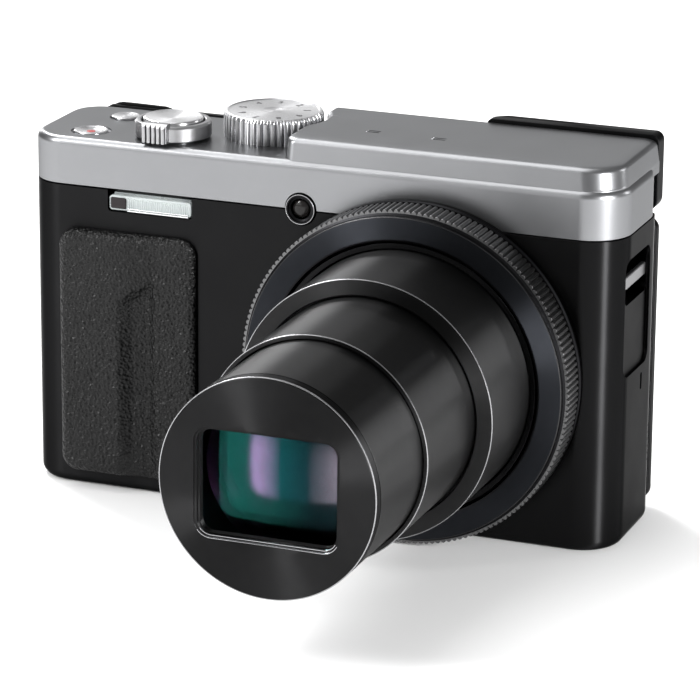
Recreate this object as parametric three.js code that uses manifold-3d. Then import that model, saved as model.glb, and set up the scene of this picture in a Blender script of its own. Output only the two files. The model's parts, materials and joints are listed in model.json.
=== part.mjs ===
// Compact travel-zoom camera with its lens extended, in millimetres.
// +X is the strap side, -Y the way the lens looks, +Z up. The origin is the middle of the base.
import * as THREE from 'three';
import { mergeVertices } from 'three/addons/utils/BufferGeometryUtils.js';
import Module from 'manifold-3d';

const wasm = await Module();
wasm.setup();

// ---------------------------------------------------------------- driving dimensions
// A pair such as x: [-6, 6] is a low and a high limit.
const FAR = 75; // past the body on every side, for cutting tools
const HALF_WIDTH = 56;
const FRONT = -14;
const BACK = 12.6;
const WALL = 1.3;
const GAP = 0.3;
const BUTTON_GAP = 0.35;
const SEAM_Y = 9.3; // between the front and the rear cover
const SEAM_Z = 56.8; // between the black covers and the top cover
const DECK_Z = 65.5;
const HUMP = { x0: -6.3, z: 69.4, corner: 3.5, rounding: 0.9, ledge: 0.9, dialGap: 0.7 };
const TOP_BACK = 11.2; // rear edge of the top cover
const BASE_ROUNDING = 2;
const DECK_ROUNDING = 1.2;
const CORNERS = { frontLeft: 7, frontRight: 7.5, backRight: 6.5, backLeft: 6 };

const LENS = { x: 20, z: 30.9 };
const LENS_FACETS = 40; // every turned part of the lens has its facets in line
const HOUSING = { r: 24.4, wall: 0.9, sensorR: 6, back: 6.8, floor: 1.2 };
const RING = { r: 30.3, innerR: 27.6, faceY: -23.1, backY: FRONT - 2.3, web: 21.6, ribs: 48, ribDepth: 0.5 };
const OUTER_BARREL = { r: 23.15, bore: 21.9, lip: 20.15, flange: 23.15, front: -41.35, back: -18.6 };
const MIDDLE_BARREL = { r: 19.8, bore: 19.25, lip: 19.05, flange: 21.55, front: -63.6, back: -37 };
const INNER_BARREL = { r: 18.75, bore: 17.9, front: -82.3, back: -59.4 };
const BARREL_STEP = { lip: 1.5, flange: 2 };
const LENS_FRONT = { y: -85, chamfer: 0.6, width: 25.1, height: 19, corner: 3 };
const BLADE = { inner: 5.4, outer: 5.8, halfWidth: 12.9, thickness: 0.3, circle: 17.6, start: 9.8 };
const FRONT_ELEMENT = { r: 17.55, front: -80.9, back: -76.5, bulge: 2.2 };
const VARIATOR = { r: 14, front: -50, back: -43.8, bulge: 1.8 };
const FOCUS = { r: 11, front: 2.2, back: 4.2, bulge: 0.4 };
const SHUTTER_UNIT = { bore: 5, r: 17.2, flange: 18.7, front: -43.5, flangeY: -38, back: -37.2 };
const SENSOR = { halfWidth: 6.5, halfHeight: 5.5, y: [7.1, 8] };
const SENSOR_PLATE = { halfWidth: 14, halfHeight: 12, y: [8.3, 9.1] };

const SHUTTER = { x: -30.4, y: -5.8, stemR: 2, stemZ: 63.4, r: 5.4, skirtZ: 68.1, topZ: 69.3 };
const ZOOM_RING = { bore: 2.4, r: 6.9, cupR: 5.75, z0: 65.8, floorZ: 66.6, z1: 68.8 };
const ZOOM_TAB = { halfWidth: 2.4, y: [-8.2, -6], z: [66, 69.5], turn: -0.05 };
const MODE_DIAL = { x: -14.4, y: 2.7, z: [65.8, 70.1], r: 9.05, stemR: 3, stemZ: 62.5 };
const DIAL_KNURL = { ribs: 30, depth: 0.35 };
const POWER = { x: -44.1, y: 3.9, r: 2.6, z: [63.9, 65.9] };
const MOVIE = { x: -45.8, y: -7.6, r: 3.1, z: [63.9, 65.7] };

const REAR_DIAL = { x: -38.5, z: 24, r: 10.3, bore: 5.9, thickness: 1.1 };
const SET_BUTTON = { r: 5.35, y: [BACK - 0.2, BACK + 1.6] };
const REAR_BUTTONS = {
  photo_mode_button: { x: -27.5, z: 60.3 },
  viewfinder_button: { x: 15, z: 60.3 },
  play_button: { x: -28.5, z: 43 },
  quick_menu_button: { x: -29.5, z: 8.5 },
  display_button: { x: -47, z: 8.5 },
};
const REAR_BUTTON = { r: 2.3, y: [BACK - 0.7, BACK + 0.6] };
const THUMB_REST = { x: [-51.5, -37.5], z: [43, 65.8], rise: 2.6 };

const SCREEN = { x: [-20.5, 54.6], y: [BACK + GAP, 15.3], z: [1.6, 54.3], bezel: 4, pocket: 0.9 };
const LINK = { x: [-2, 20], r: 0.95, pinR: 0.6, pinLength: 1.6, clearance: 0.4, notch: 1.5 };
const LINK_UPPER = { y: 14.75, z: 56.3 };
const LINK_LOWER = { y: 14.1, z: 53 };
const LUG = { thickness: 2, r: 1.15 };

const FINDER = { x: [23, 55], y1: 15.1, z: [56.1, 70.1], corner: 1.5 };
const EYEPIECE = { x: 40.5, z: 63, width: 16, height: 7.6, cupY: 16, cupRim: 1.6, cupOverlap: 0.6 };
const FINDER_DISPLAY = { x: [34, 47], y: [1, 2.5], z: [58, 67.5] };
const DIOPTER = { x: 27.4, r: 3, ribDepth: 0.25, ribs: 16 };

const FLASH = { x: -31.5, z: 54.4, width: 16.4, height: 3.4, corner: 0.5 };
const REFLECTOR = { x: [-39, -24], y: [FRONT + 1.4, FRONT + 5.6], halfHeight: 1.6, wall: 0.6 };
const FLASH_TUBE = { y: FRONT + 3.4, z: FLASH.z, r: 0.8, troughR: 1.3 };
const AF_LAMP = { x: -2.5, z: 57, r: 2.7, bore: 1.9, lensR: 1.6, depth: 1.2 };
const GRIP = { x: [-48.8, -22.4], z: [3.2, 49.2], corner: 3, rise: 2.2 };

const SIDE_PANEL = { y: [-8.5, 5], z: [31, 52.5], depth: 0.5, corner: 2 };
const STRAP = { z: 47.8, slot: 7.2, depth: 3.2, barR: 1, inset: 0.2, leftY: [-5.8, 5.2] };

const DOOR = { x0: -50.9, hingeX: -20, y: [-8.6, 7.2], thickness: 1.4, margin: 0.4 };
const LATCH = { x: [-49, -43], y: [-2.9, 1.5], z: [0.05, 0.5], travel: 2.2, recess: 0.8 };
const TERMINAL = { y0: -5.4, hingeY: 4.8, z: [17.9, 40.1], thickness: 1.2, margin: 0.4 };
const SOCKETS = { x: [-54.4, -51], y: [-4, 4], z: [20, 38], floorX: -52 };
const MICRO_SOCKET = { y: [-1.4, 1.4], z: [30, 35.5] };
const VIDEO_SOCKET = { y: [-1.6, 1.6], z: [22, 28.5] };
const TRIPOD = { x: 12, y: -1, flangeR: 6, boreR: 3.17, depth: 5, roof: 1 };
const BASE_SCREW = { x: 44, y: 2, r: 1.6, z: [0.1, 6], slotHalf: 1, slotWidth: 0.2, slotDepth: 0.5 };

const BATTERY = { x: [-49.5, -21.5], y: [-4.6, 6.8], z: [2, 42], corner: 1.5 };
const MEMORY_CARD = { x: [-47.5, -23.5], y: [-8.2, -6.1], z: [2, 34] };
const CHASSIS = { x: [-16, 50], y: [5.2, 6.2], z: [2.2, 54] };
const MAIN_BOARD = { x: [-16, 51], y: [9.4, 10.6], z: [4, 52] };
const ZOOM_MOTOR = { x: -11.5, z: 14, r: 4.5, y: [-10, 3] };

// ---------------------------------------------------------------- materials
const material = (color, roughness, metalness = 0) =>
  new THREE.MeshStandardMaterial({ color, roughness, metalness });

const blackPlastic = material(0x222222, 0.6);
const satinBlack = material(0x161616, 0.35);
const silver = material(0xa0a3a8, 0.35, 0.8);
const brightMetal = material(0xc4c6ca, 0.25, 1);
const steel = material(0x8c8f93, 0.4, 1);
const leather = material(0x1c1c1c, 0.85);
const rubber = material(0x181818, 0.9);
const glass = material(0x20383c, 0.05);
const clear = material(0xd9dde0, 0.15);
const board = material(0x1d4f35, 0.6);
const cell = material(0x2c2f36, 0.5);

// ---------------------------------------------------------------- solids
function signedVolume(positions, triangles) {
  let sum = 0;
  const [a, b, c] = [new THREE.Vector3(), new THREE.Vector3(), new THREE.Vector3()];
  for (let i = 0; i < triangles.length; i += 3) {
    a.fromArray(positions, triangles[i] * 3);
    b.fromArray(positions, triangles[i + 1] * 3);
    c.fromArray(positions, triangles[i + 2] * 3);
    sum += a.dot(b.cross(c));
  }
  return sum;
}

// A closed three.js geometry as a solid: corners shared, slivers dropped, faces pointing out.
function solid(geometry) {
  geometry.deleteAttribute('normal');
  geometry.deleteAttribute('uv');
  const merged = mergeVertices(geometry, 1e-4);
  const positions = new Float32Array(merged.attributes.position.array);
  const triangles = [];
  for (let i = 0; i < merged.index.count; i += 3) {
    const [a, b, c] = [0, 1, 2].map((k) => merged.index.getX(i + k));
    if (a !== b && b !== c && c !== a) triangles.push(a, b, c);
  }
  if (signedVolume(positions, triangles) < 0) triangles.reverse();
  const triVerts = new Uint32Array(triangles);
  return new wasm.Manifold(new wasm.Mesh({ numProp: 3, vertProperties: positions, triVerts }));
}

function block([x0, x1], [y0, y1], [z0, z1]) {
  const box = new THREE.BoxGeometry(x1 - x0, y1 - y0, z1 - z0);
  box.translate((x0 + x1) / 2, (y0 + y1) / 2, (z0 + z1) / 2);
  return solid(box);
}

const blockOf = ({ x, y, z }) => block(x, y, z);

// A pair of limits moved apart on both sides.
const spread = ([low, high], by) => [low - by, high + by];

// The limits of a length centred on a value.
const centred = (middle, length) => [middle - length / 2, middle + length / 2];

const ALL = [-FAR, FAR];
const above = (low) => [low, FAR];
const below = (high) => [-FAR, high];

function roundedRectangle([x0, x1], [y0, y1], corner) {
  const shape = new THREE.Shape();
  shape.absarc(x1 - corner, y0 + corner, corner, -Math.PI / 2, 0);
  shape.absarc(x1 - corner, y1 - corner, corner, 0, Math.PI / 2);
  shape.absarc(x0 + corner, y1 - corner, corner, Math.PI / 2, Math.PI);
  shape.absarc(x0 + corner, y0 + corner, corner, Math.PI, Math.PI * 1.5);
  shape.closePath();
  return shape;
}

function extruded(shape, length, rounding = 0) {
  const geometry = new THREE.ExtrudeGeometry(shape, {
    depth: length - 2 * rounding,
    curveSegments: 4,
    bevelEnabled: rounding > 0,
    bevelThickness: rounding,
    bevelSize: rounding,
    bevelOffset: -rounding,
    bevelSegments: 2,
  });
  return geometry.translate(0, 0, rounding);
}

// A shape in XY, raised through a pair of heights.
const risen = (shape, [z0, z1], rounding) =>
  solid(extruded(shape, z1 - z0, rounding).translate(0, 0, z0));

// A shape in XZ, run back through a pair of depths.
const runBack = (shape, [y0, y1], rounding) =>
  solid(extruded(shape, y1 - y0, rounding).rotateX(Math.PI / 2).translate(0, y1, 0));

// A shape in YZ, run across a pair of widths.
function runAcross(shape, [x0, x1]) {
  const geometry = extruded(shape, x1 - x0);
  return solid(geometry.rotateX(Math.PI / 2).rotateZ(Math.PI / 2).translate(x0, 0, 0));
}

// A profile of [radius, height] turned about the Y axis.
function turned(profile, segments = LENS_FACETS) {
  const points = profile.map(([r, y]) => new THREE.Vector2(r, y));
  return new THREE.LatheGeometry(points, segments);
}

const closedRing = (profile) => [...profile, profile[0]];

const ringTube = (inner, outer, [y0, y1], segments) =>
  solid(turned(closedRing([[inner, y0], [outer, y0], [outer, y1], [inner, y1]]), segments));

const disc = (r, [y0, y1], segments = 20) =>
  turned([[0, y0], [r, y0], [r, y1], [0, y1]], segments);

const standing = (geometry, { x, y }) => solid(geometry.rotateX(Math.PI / 2).translate(x, y, 0));

const post = (place, r, z, segments) => standing(disc(r, z, segments), place);

const plug = ({ x, z }, r, y, segments) => solid(disc(r, y, segments).translate(x, 0, z));

const rod = (r, x, { y, z }) =>
  solid(disc(r, x, 12).rotateZ(-Math.PI / 2).translate(0, y, z));

function knurledShape(r, depth, ribs) {
  const shape = new THREE.Shape();
  for (let i = 0; i < ribs * 2; i++) {
    const angle = (Math.PI * i) / ribs;
    const radius = i % 2 ? r - depth : r;
    const [x, y] = [radius * Math.cos(angle), radius * Math.sin(angle)];
    if (i === 0) shape.moveTo(x, y);
    else shape.lineTo(x, y);
  }
  shape.closePath();
  return shape;
}

// ---------------------------------------------------------------- assembly helpers
const camera = new THREE.Group();
const lens = new THREE.Group();
lens.position.set(LENS.x, 0, LENS.z);
camera.add(lens);
const LENS_AXIS = { x: 0, z: 0 }; // in the lens group

function add(name, body, finish, parent = camera) {
  const { vertProperties, triVerts } = body.getMesh();
  const geometry = new THREE.BufferGeometry();
  geometry.setAttribute('position', new THREE.BufferAttribute(new Float32Array(vertProperties), 3));
  geometry.setIndex(new THREE.BufferAttribute(new Uint32Array(triVerts), 1));
  geometry.computeVertexNormals();
  const mesh = new THREE.Mesh(geometry, finish);
  mesh.name = name;
  parent.add(mesh);
}

// ---------------------------------------------------------------- covers
// The body's outline from above, drawn in by an inset.
function plan(inset, back) {
  const [x0, x1] = [-HALF_WIDTH + inset, HALF_WIDTH - inset];
  const [y0, y1] = [FRONT + inset, back - inset];
  const r = (name) => CORNERS[name] - inset;
  const shape = new THREE.Shape();
  shape.absarc(x0 + r('frontLeft'), y0 + r('frontLeft'), r('frontLeft'), Math.PI, Math.PI * 1.5);
  shape.absarc(x1 - r('frontRight'), y0 + r('frontRight'), r('frontRight'), -Math.PI / 2, 0);
  shape.absarc(x1 - r('backRight'), y1 - r('backRight'), r('backRight'), 0, Math.PI / 2);
  shape.absarc(x0 + r('backLeft'), y1 - r('backLeft'), r('backLeft'), Math.PI / 2, Math.PI);
  shape.closePath();
  return shape;
}

// The black shell from the base up to the top cover's seam, open at the top.
function lowerShell() {
  const roof = SEAM_Z + 10;
  return risen(plan(0, BACK), [0, roof], BASE_ROUNDING)
    .subtract(risen(plan(WALL, BACK), [WALL, roof + WALL]))
    .subtract(block(ALL, ALL, above(SEAM_Z - GAP / 2)));
}

// The lower value first.
const ordered = (a, b) => [Math.min(a, b), Math.max(a, b)];

// Two depths below the right (side 1) or left (side -1) wall's face, as limits in x.
const intoSide = (side, near, far) => ordered(side * (HALF_WIDTH - near), side * (HALF_WIDTH - far));

function strapPad(side, y) {
  const z = centred(STRAP.z, STRAP.slot + 2 * WALL);
  return block(intoSide(side, STRAP.depth + WALL, WALL / 2), spread(y, WALL), z)
    .intersect(risen(plan(WALL / 2, BACK), z));
}

const strapSlot = (side, y) =>
  runAcross(roundedRectangle(y, centred(STRAP.z, STRAP.slot), 1), intoSide(side, STRAP.depth, -1));

const lampHole = () => plug(AF_LAMP, AF_LAMP.r + GAP, [FRONT - 1, FRONT + 3]);

function frontCover() {
  const { y, z, depth, corner } = SIDE_PANEL;
  const throughFront = [FRONT - 1, FRONT + 3];
  const throughBase = [-1, 4];
  const flashX = centred(FLASH.x, FLASH.width);
  const flash = roundedRectangle(flashX, centred(FLASH.z, FLASH.height), FLASH.corner);
  const doorX = [DOOR.x0 - DOOR.margin, DOOR.hingeX + 1.1];
  const doorHole = block(doorX, spread(DOOR.y, DOOR.margin), throughBase);
  const terminalY = [TERMINAL.y0 - TERMINAL.margin, TERMINAL.hingeY + 0.8];
  return lowerShell()
    .subtract(block(ALL, above(SEAM_Y - GAP / 2), ALL))
    .add(strapPad(1, y))
    .add(strapPad(-1, STRAP.leftY))
    .subtract(runAcross(roundedRectangle(y, z, corner), [HALF_WIDTH - depth, HALF_WIDTH + 1]))
    .subtract(strapSlot(1, y))
    .subtract(strapSlot(-1, STRAP.leftY))
    .subtract(plug(LENS, HOUSING.r + 0.8, throughFront, LENS_FACETS))
    .subtract(runBack(flash, throughFront))
    .subtract(lampHole())
    .subtract(doorHole)
    .subtract(block(below(-HALF_WIDTH + 3), terminalY, spread(TERMINAL.z, TERMINAL.margin)))
    .subtract(post(TRIPOD, TRIPOD.flangeR + GAP, throughBase, 24))
    .subtract(post(BASE_SCREW, BASE_SCREW.r + GAP, throughBase, 16));
}

// An ear on the rear cover that carries one end of the screen's upper hinge.
function hingeLug(x0) {
  const root = BACK - 0.5;
  const shape = new THREE.Shape();
  shape.moveTo(root, LINK_UPPER.z - LUG.r);
  shape.lineTo(LINK_UPPER.y, LINK_UPPER.z - LUG.r);
  shape.absarc(LINK_UPPER.y, LINK_UPPER.z, LUG.r, -Math.PI / 2, Math.PI / 2);
  shape.lineTo(root, LINK_UPPER.z + LUG.r);
  shape.closePath();
  return runAcross(shape, [x0, x0 + LUG.thickness]);
}

function rearCover() {
  const wallX = [-HALF_WIDTH + 4, FINDER.x[0] - GAP];
  const upperWall = runBack(roundedRectangle(wallX, [SEAM_Z - 6, DECK_Z], 2), [TOP_BACK + GAP, BACK]);
  const leftLugX = LINK.x[0] - LINK.clearance - LUG.thickness;
  const rightLugX = LINK.x[1] + LINK.clearance;
  const throughWall = [BACK - 3, BACK + 1];
  let cover = lowerShell()
    .subtract(block(ALL, below(SEAM_Y + GAP / 2), ALL))
    .subtract(block(above(FINDER.x[0] - GAP), ALL, above(FINDER.z[0] - GAP)))
    .add(upperWall)
    .add(hingeLug(leftLugX))
    .add(hingeLug(rightLugX))
    .subtract(rod(LINK.pinR + 0.35, [leftLugX - 1, rightLugX + LUG.thickness + 1], LINK_UPPER))
    .subtract(plug(REAR_DIAL, SET_BUTTON.r + BUTTON_GAP, throughWall));
  for (const place of Object.values(REAR_BUTTONS)) {
    cover = cover.subtract(plug(place, REAR_BUTTON.r + BUTTON_GAP, throughWall));
  }
  return cover;
}

// The raised hump over the viewfinder, hollowed round the mode dial.
function hump(inset, top) {
  const x = [HUMP.x0 + inset, HALF_WIDTH - 0.6 - inset];
  const y = [FRONT + HUMP.ledge + inset, TOP_BACK + 4];
  const bounds = plan(HUMP.ledge + inset, TOP_BACK + 9);
  return risen(roundedRectangle(x, y, HUMP.corner - inset), [DECK_Z - 4, top], inset ? 0 : HUMP.rounding)
    .intersect(risen(bounds, [DECK_Z - 5, top], inset ? 0 : HUMP.rounding))
    .subtract(post(MODE_DIAL, MODE_DIAL.r + HUMP.dialGap + inset, [0, FAR], 32))
    .subtract(block(ALL, above(TOP_BACK - inset), ALL));
}

function topCover() {
  const z0 = SEAM_Z + GAP / 2;
  const throughDeck = [DECK_Z - 5, DECK_Z + 5];
  const finderPort = block(centred(EYEPIECE.x, 14), [5, 20], centred(EYEPIECE.z, 6));
  return risen(plan(0, TOP_BACK), [z0 - 5, DECK_Z], DECK_ROUNDING)
    .add(hump(0, HUMP.z))
    .subtract(risen(plan(WALL, TOP_BACK), [z0 - 6, DECK_Z - WALL]))
    .subtract(hump(WALL, HUMP.z - WALL))
    .subtract(block(ALL, ALL, below(z0)))
    .subtract(lampHole())
    .subtract(finderPort)
    .subtract(post(SHUTTER, SHUTTER.stemR + 1, throughDeck))
    .subtract(post(MODE_DIAL, MODE_DIAL.stemR + 0.4, throughDeck))
    .subtract(post(POWER, POWER.r + BUTTON_GAP, throughDeck))
    .subtract(post(MOVIE, MOVIE.r + BUTTON_GAP, throughDeck));
}

// A leather pad with a ridge for the fingers on its outer half and a shallow scoop beside it.
function gripCover() {
  const seat = FRONT - GAP;
  const [x0, x1] = GRIP.x;
  const section = new THREE.Shape();
  section.moveTo(x0, seat);
  section.lineTo(x0, seat - 0.9);
  section.quadraticCurveTo(x0 + 1, seat - 1.9, x0 + 9, seat - GRIP.rise);
  section.quadraticCurveTo(x0 + 14, seat - GRIP.rise, x0 + 16, seat - 1);
  section.quadraticCurveTo(x0 + 18, seat - 0.5, x1, seat - 0.9);
  section.lineTo(x1, seat);
  section.closePath();
  const face = roundedRectangle(spread(GRIP.x, 0.1), GRIP.z, GRIP.corner);
  return risen(section, spread(GRIP.z, 1)).intersect(runBack(face, [seat - 5, seat + 1]));
}

function thumbRest() {
  const [x0, x1] = THUMB_REST.x;
  const seat = BACK + GAP;
  const crest = BACK + THUMB_REST.rise;
  const section = new THREE.Shape();
  section.moveTo(x0, seat);
  section.lineTo(x1, seat);
  section.quadraticCurveTo(x1 - 4.5, crest, x0 + 3.5, crest);
  section.quadraticCurveTo(x0 + 0.5, crest - 0.2, x0, seat);
  const face = roundedRectangle(spread(THUMB_REST.x, 0.5), THUMB_REST.z, 3);
  return risen(section, spread(THUMB_REST.z, 1)).intersect(runBack(face, [BACK, BACK + 4]));
}

add('front_cover', frontCover(), blackPlastic);
add('rear_cover', rearCover(), blackPlastic);
add('top_cover', topCover(), silver);
add('grip_cover', gripCover(), leather);
add('thumb_rest', thumbRest(), rubber);

// ---------------------------------------------------------------- viewfinder
const eyepieceShape = (grow) =>
  roundedRectangle(
    centred(EYEPIECE.x, EYEPIECE.width + 2 * grow), centred(EYEPIECE.z, EYEPIECE.height + 2 * grow), 1.5);

const finderHousing = () =>
  runBack(roundedRectangle(FINDER.x, FINDER.z, FINDER.corner), [TOP_BACK + GAP, FINDER.y1])
    .subtract(runBack(eyepieceShape(GAP), [0, 20]));

const eyecup = () =>
  runBack(eyepieceShape(EYEPIECE.cupRim), [FINDER.y1 + GAP, EYEPIECE.cupY])
    .subtract(runBack(eyepieceShape(-EYEPIECE.cupOverlap), [10, 20]));

function diopterDial() {
  const thickness = EYEPIECE.cupY - FINDER.y1 - GAP;
  const knob = extruded(knurledShape(DIOPTER.r, DIOPTER.ribDepth, DIOPTER.ribs), thickness);
  return solid(knob.rotateX(Math.PI / 2).translate(DIOPTER.x, EYEPIECE.cupY, EYEPIECE.z));
}

add('evf_housing', finderHousing(), blackPlastic);
add('evf_eyepiece_lens', runBack(eyepieceShape(0), [TOP_BACK + 0.8, FINDER.y1 - 0.7]), glass);
add('eyecup', eyecup(), rubber);
add('evf_display', blockOf(FINDER_DISPLAY), board);
add('diopter_dial', diopterDial(), blackPlastic);

// ---------------------------------------------------------------- flash and focus lamp
function flashWindow() {
  const width = centred(FLASH.x, FLASH.width - 2 * GAP);
  const height = centred(FLASH.z, FLASH.height - 2 * GAP);
  return runBack(roundedRectangle(width, height, FLASH.corner - 0.1), [FRONT - 0.2, FRONT + 1]);
}

function flashReflector() {
  const { x, y, halfHeight, wall } = REFLECTOR;
  const inside = spread(x, -wall);
  const mouth = centred(FLASH.z, 2 * FLASH_TUBE.troughR - 0.2);
  return block(x, y, centred(FLASH.z, 2 * halfHeight))
    .subtract(rod(FLASH_TUBE.troughR, inside, FLASH_TUBE))
    .subtract(block(inside, [FRONT, FLASH_TUBE.y], mouth));
}

function lampLens() {
  const { lensR } = AF_LAMP;
  const back = FRONT + AF_LAMP.depth;
  const dome = turned([
    [0, FRONT - 0.5], [lensR * 0.56, FRONT - 0.35], [lensR, FRONT], [lensR, back], [0, back],
  ], 16);
  return solid(dome.translate(AF_LAMP.x, 0, AF_LAMP.z));
}

const lampBezel = () =>
  ringTube(AF_LAMP.bore, AF_LAMP.r, [FRONT - 0.4, FRONT + AF_LAMP.depth], 24)
    .translate([AF_LAMP.x, 0, AF_LAMP.z]);

add('flash_window', flashWindow(), clear);
add('flash_reflector', flashReflector(), brightMetal);
add('flash_tube', rod(FLASH_TUBE.r, spread(REFLECTOR.x, -1), FLASH_TUBE), clear);
add('af_lamp_bezel', lampBezel(), satinBlack);
add('af_lamp_lens', lampLens(), glass);

// ---------------------------------------------------------------- lens, turned about its own axis
function lensHousing() {
  const { r, wall, sensorR, back } = HOUSING;
  const front = RING.faceY + 0.5;
  const bore = r - wall;
  const floor = back - HOUSING.floor;
  return solid(turned(closedRing([
    [r, front], [r, back], [sensorR, back], [sensorR, floor], [bore, floor], [bore, front],
  ])));
}

// The grip ring: a thin front flange round the housing, and a knurled rim behind it.
function controlRing() {
  const { r, faceY, backY, web, innerR, ribs, ribDepth } = RING;
  const core = turned(closedRing([
    [innerR, backY], [r - 0.7, backY], [r - 0.7, faceY + 1.3], [r - 1.05, faceY],
    [HOUSING.r + 0.35, faceY], [HOUSING.r + 0.35, -web], [innerR, -web],
  ]));
  const rim = extruded(knurledShape(r, ribDepth, ribs), 5).rotateX(Math.PI / 2).translate(0, backY, 0);
  return solid(core).add(solid(rim).subtract(plug(LENS_AXIS, r - 1.5, [-30, 0], LENS_FACETS)));
}

// A telescoping tube with a lip at the front and a stop flange at the back.
function barrel({ r, bore, lip, flange, front, back }) {
  const flangeFront = back - BARREL_STEP.flange;
  const lipBack = front + BARREL_STEP.lip;
  const rear = flange > r ? [[r, flangeFront], [flange, flangeFront], [flange, back]] : [[r, back]];
  const inside = [[bore, back], [bore, lipBack], [lip, lipBack], [lip, front]];
  return solid(turned(closedRing([[r, front], ...rear, ...inside])));
}

// A disc in front of the glass with a rounded rectangular opening.
function frontRing() {
  const { y, chamfer, width, height, corner } = LENS_FRONT;
  const back = INNER_BARREL.front - GAP;
  const { r } = INNER_BARREL;
  const face = solid(turned([[0, y], [r - chamfer, y], [r, y + chamfer], [r, back], [0, back]]));
  const opening = roundedRectangle(centred(0, width), centred(0, height), corner);
  return face.subtract(runBack(opening, [y - 1, back + 1]));
}

// A barrier blade, stowed behind the front ring above (side 1) or below (side -1) the opening.
function blade(height, side, y0) {
  const z = ordered(side * BLADE.start, side * (BLADE.start + height));
  return block([-BLADE.halfWidth, BLADE.halfWidth], [y0, y0 + BLADE.thickness], z)
    .intersect(plug(LENS_AXIS, BLADE.circle, [y0 - 1, y0 + 1], LENS_FACETS));
}

// A glass element with a bulging front.
function element({ r, front, back, bulge }) {
  const steps = 3;
  const profile = [[0, front]];
  for (let i = 1; i <= steps; i++) {
    profile.push([(r * i) / steps, front + bulge * (i / steps) ** 2]);
  }
  profile.push([r, back], [0, back]);
  return solid(turned(profile, 24));
}

function shutterUnit() {
  const { bore, r, flange, front, flangeY, back } = SHUTTER_UNIT;
  return solid(turned(closedRing([
    [bore, front], [r, front], [r, flangeY], [flange, flangeY], [flange, back], [bore, back],
  ]), 24));
}

const sensorBlock = ({ halfWidth, halfHeight, y }) =>
  block([-halfWidth, halfWidth], y, [-halfHeight, halfHeight]);

add('lens_base_ring', ringTube(HOUSING.r + 0.5, RING.r - 0.2, [FRONT - 2, FRONT - GAP]), satinBlack, lens);
add('lens_housing', lensHousing(), satinBlack, lens);
add('control_ring', controlRing(), satinBlack, lens);
add('outer_barrel', barrel(OUTER_BARREL), satinBlack, lens);
add('middle_barrel', barrel(MIDDLE_BARREL), satinBlack, lens);
const innerLimits = [INNER_BARREL.front, INNER_BARREL.back];
add('inner_barrel', ringTube(INNER_BARREL.bore, INNER_BARREL.r, innerLimits), satinBlack, lens);
add('lens_front_ring', frontRing(), satinBlack, lens);
const innerBladeY = INNER_BARREL.front;
const outerBladeY = innerBladeY + 2 * BLADE.thickness;
add('barrier_upper_inner', blade(BLADE.inner, 1, innerBladeY), steel, lens);
add('barrier_lower_inner', blade(BLADE.inner, -1, innerBladeY), steel, lens);
add('barrier_upper_outer', blade(BLADE.outer, 1, outerBladeY), steel, lens);
add('barrier_lower_outer', blade(BLADE.outer, -1, outerBladeY), steel, lens);
add('front_element', element(FRONT_ELEMENT), glass, lens);
add('variator_lens', element(VARIATOR), glass, lens);
add('shutter_unit', shutterUnit(), blackPlastic, lens);
add('focus_group', element(FOCUS), glass, lens);
add('image_sensor', sensorBlock(SENSOR), glass, lens);
add('sensor_plate', sensorBlock(SENSOR_PLATE), steel, lens);

// ---------------------------------------------------------------- inside the body
const chassisFrame = () => blockOf(CHASSIS).subtract(plug(LENS, HOUSING.r + 0.4, [0, 9], LENS_FACETS));

function terminalSockets() {
  const cut = below(SOCKETS.floorX);
  return blockOf(SOCKETS)
    .subtract(block(cut, MICRO_SOCKET.y, MICRO_SOCKET.z))
    .subtract(block(cut, VIDEO_SOCKET.y, VIDEO_SOCKET.z));
}

const tripodSocket = () =>
  post(TRIPOD, TRIPOD.flangeR, [0, TRIPOD.depth + TRIPOD.roof], 24)
    .subtract(post(TRIPOD, TRIPOD.boreR, [-1, TRIPOD.depth], 24));

function baseScrew() {
  const { x, y, r, z, slotHalf, slotWidth, slotDepth } = BASE_SCREW;
  const slotZ = [-1, z[0] + slotDepth];
  const cross = block(centred(x, 2 * slotHalf), centred(y, 2 * slotWidth), slotZ)
    .add(block(centred(x, 2 * slotWidth), centred(y, 2 * slotHalf), slotZ));
  return post(BASE_SCREW, r, z, 16).subtract(cross);
}

add('chassis_frame', chassisFrame(), steel);
add('main_board', blockOf(MAIN_BOARD), board);
add('zoom_motor', plug(ZOOM_MOTOR, ZOOM_MOTOR.r, ZOOM_MOTOR.y, 20), steel);
add('battery', risen(roundedRectangle(BATTERY.x, BATTERY.y, BATTERY.corner), BATTERY.z), cell);
add('memory_card', blockOf(MEMORY_CARD), blackPlastic);
add('terminal_sockets', terminalSockets(), steel);
add('tripod_socket', tripodSocket(), steel);
add('base_screw', baseScrew(), steel);

// ---------------------------------------------------------------- strap bars
function strapBar(side, y) {
  const bar = disc(STRAP.barR, spread(y, -GAP), 12);
  return solid(bar.translate(side * (HALF_WIDTH - STRAP.barR - STRAP.inset), 0, STRAP.z));
}
add('strap_bar_right', strapBar(1, SIDE_PANEL.y), brightMetal);
add('strap_bar_left', strapBar(-1, STRAP.leftY), brightMetal);

// ---------------------------------------------------------------- top controls
function shutterButton() {
  const { stemR, stemZ, r, skirtZ, topZ } = SHUTTER;
  return standing(turned([
    [0, stemZ], [stemR, stemZ], [stemR, skirtZ], [r - 0.3, skirtZ], [r, skirtZ + 0.3],
    [r - 0.1, topZ - 0.4], [r - 0.8, topZ - 0.1], [0, topZ],
  ], 24), SHUTTER);
}

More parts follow.
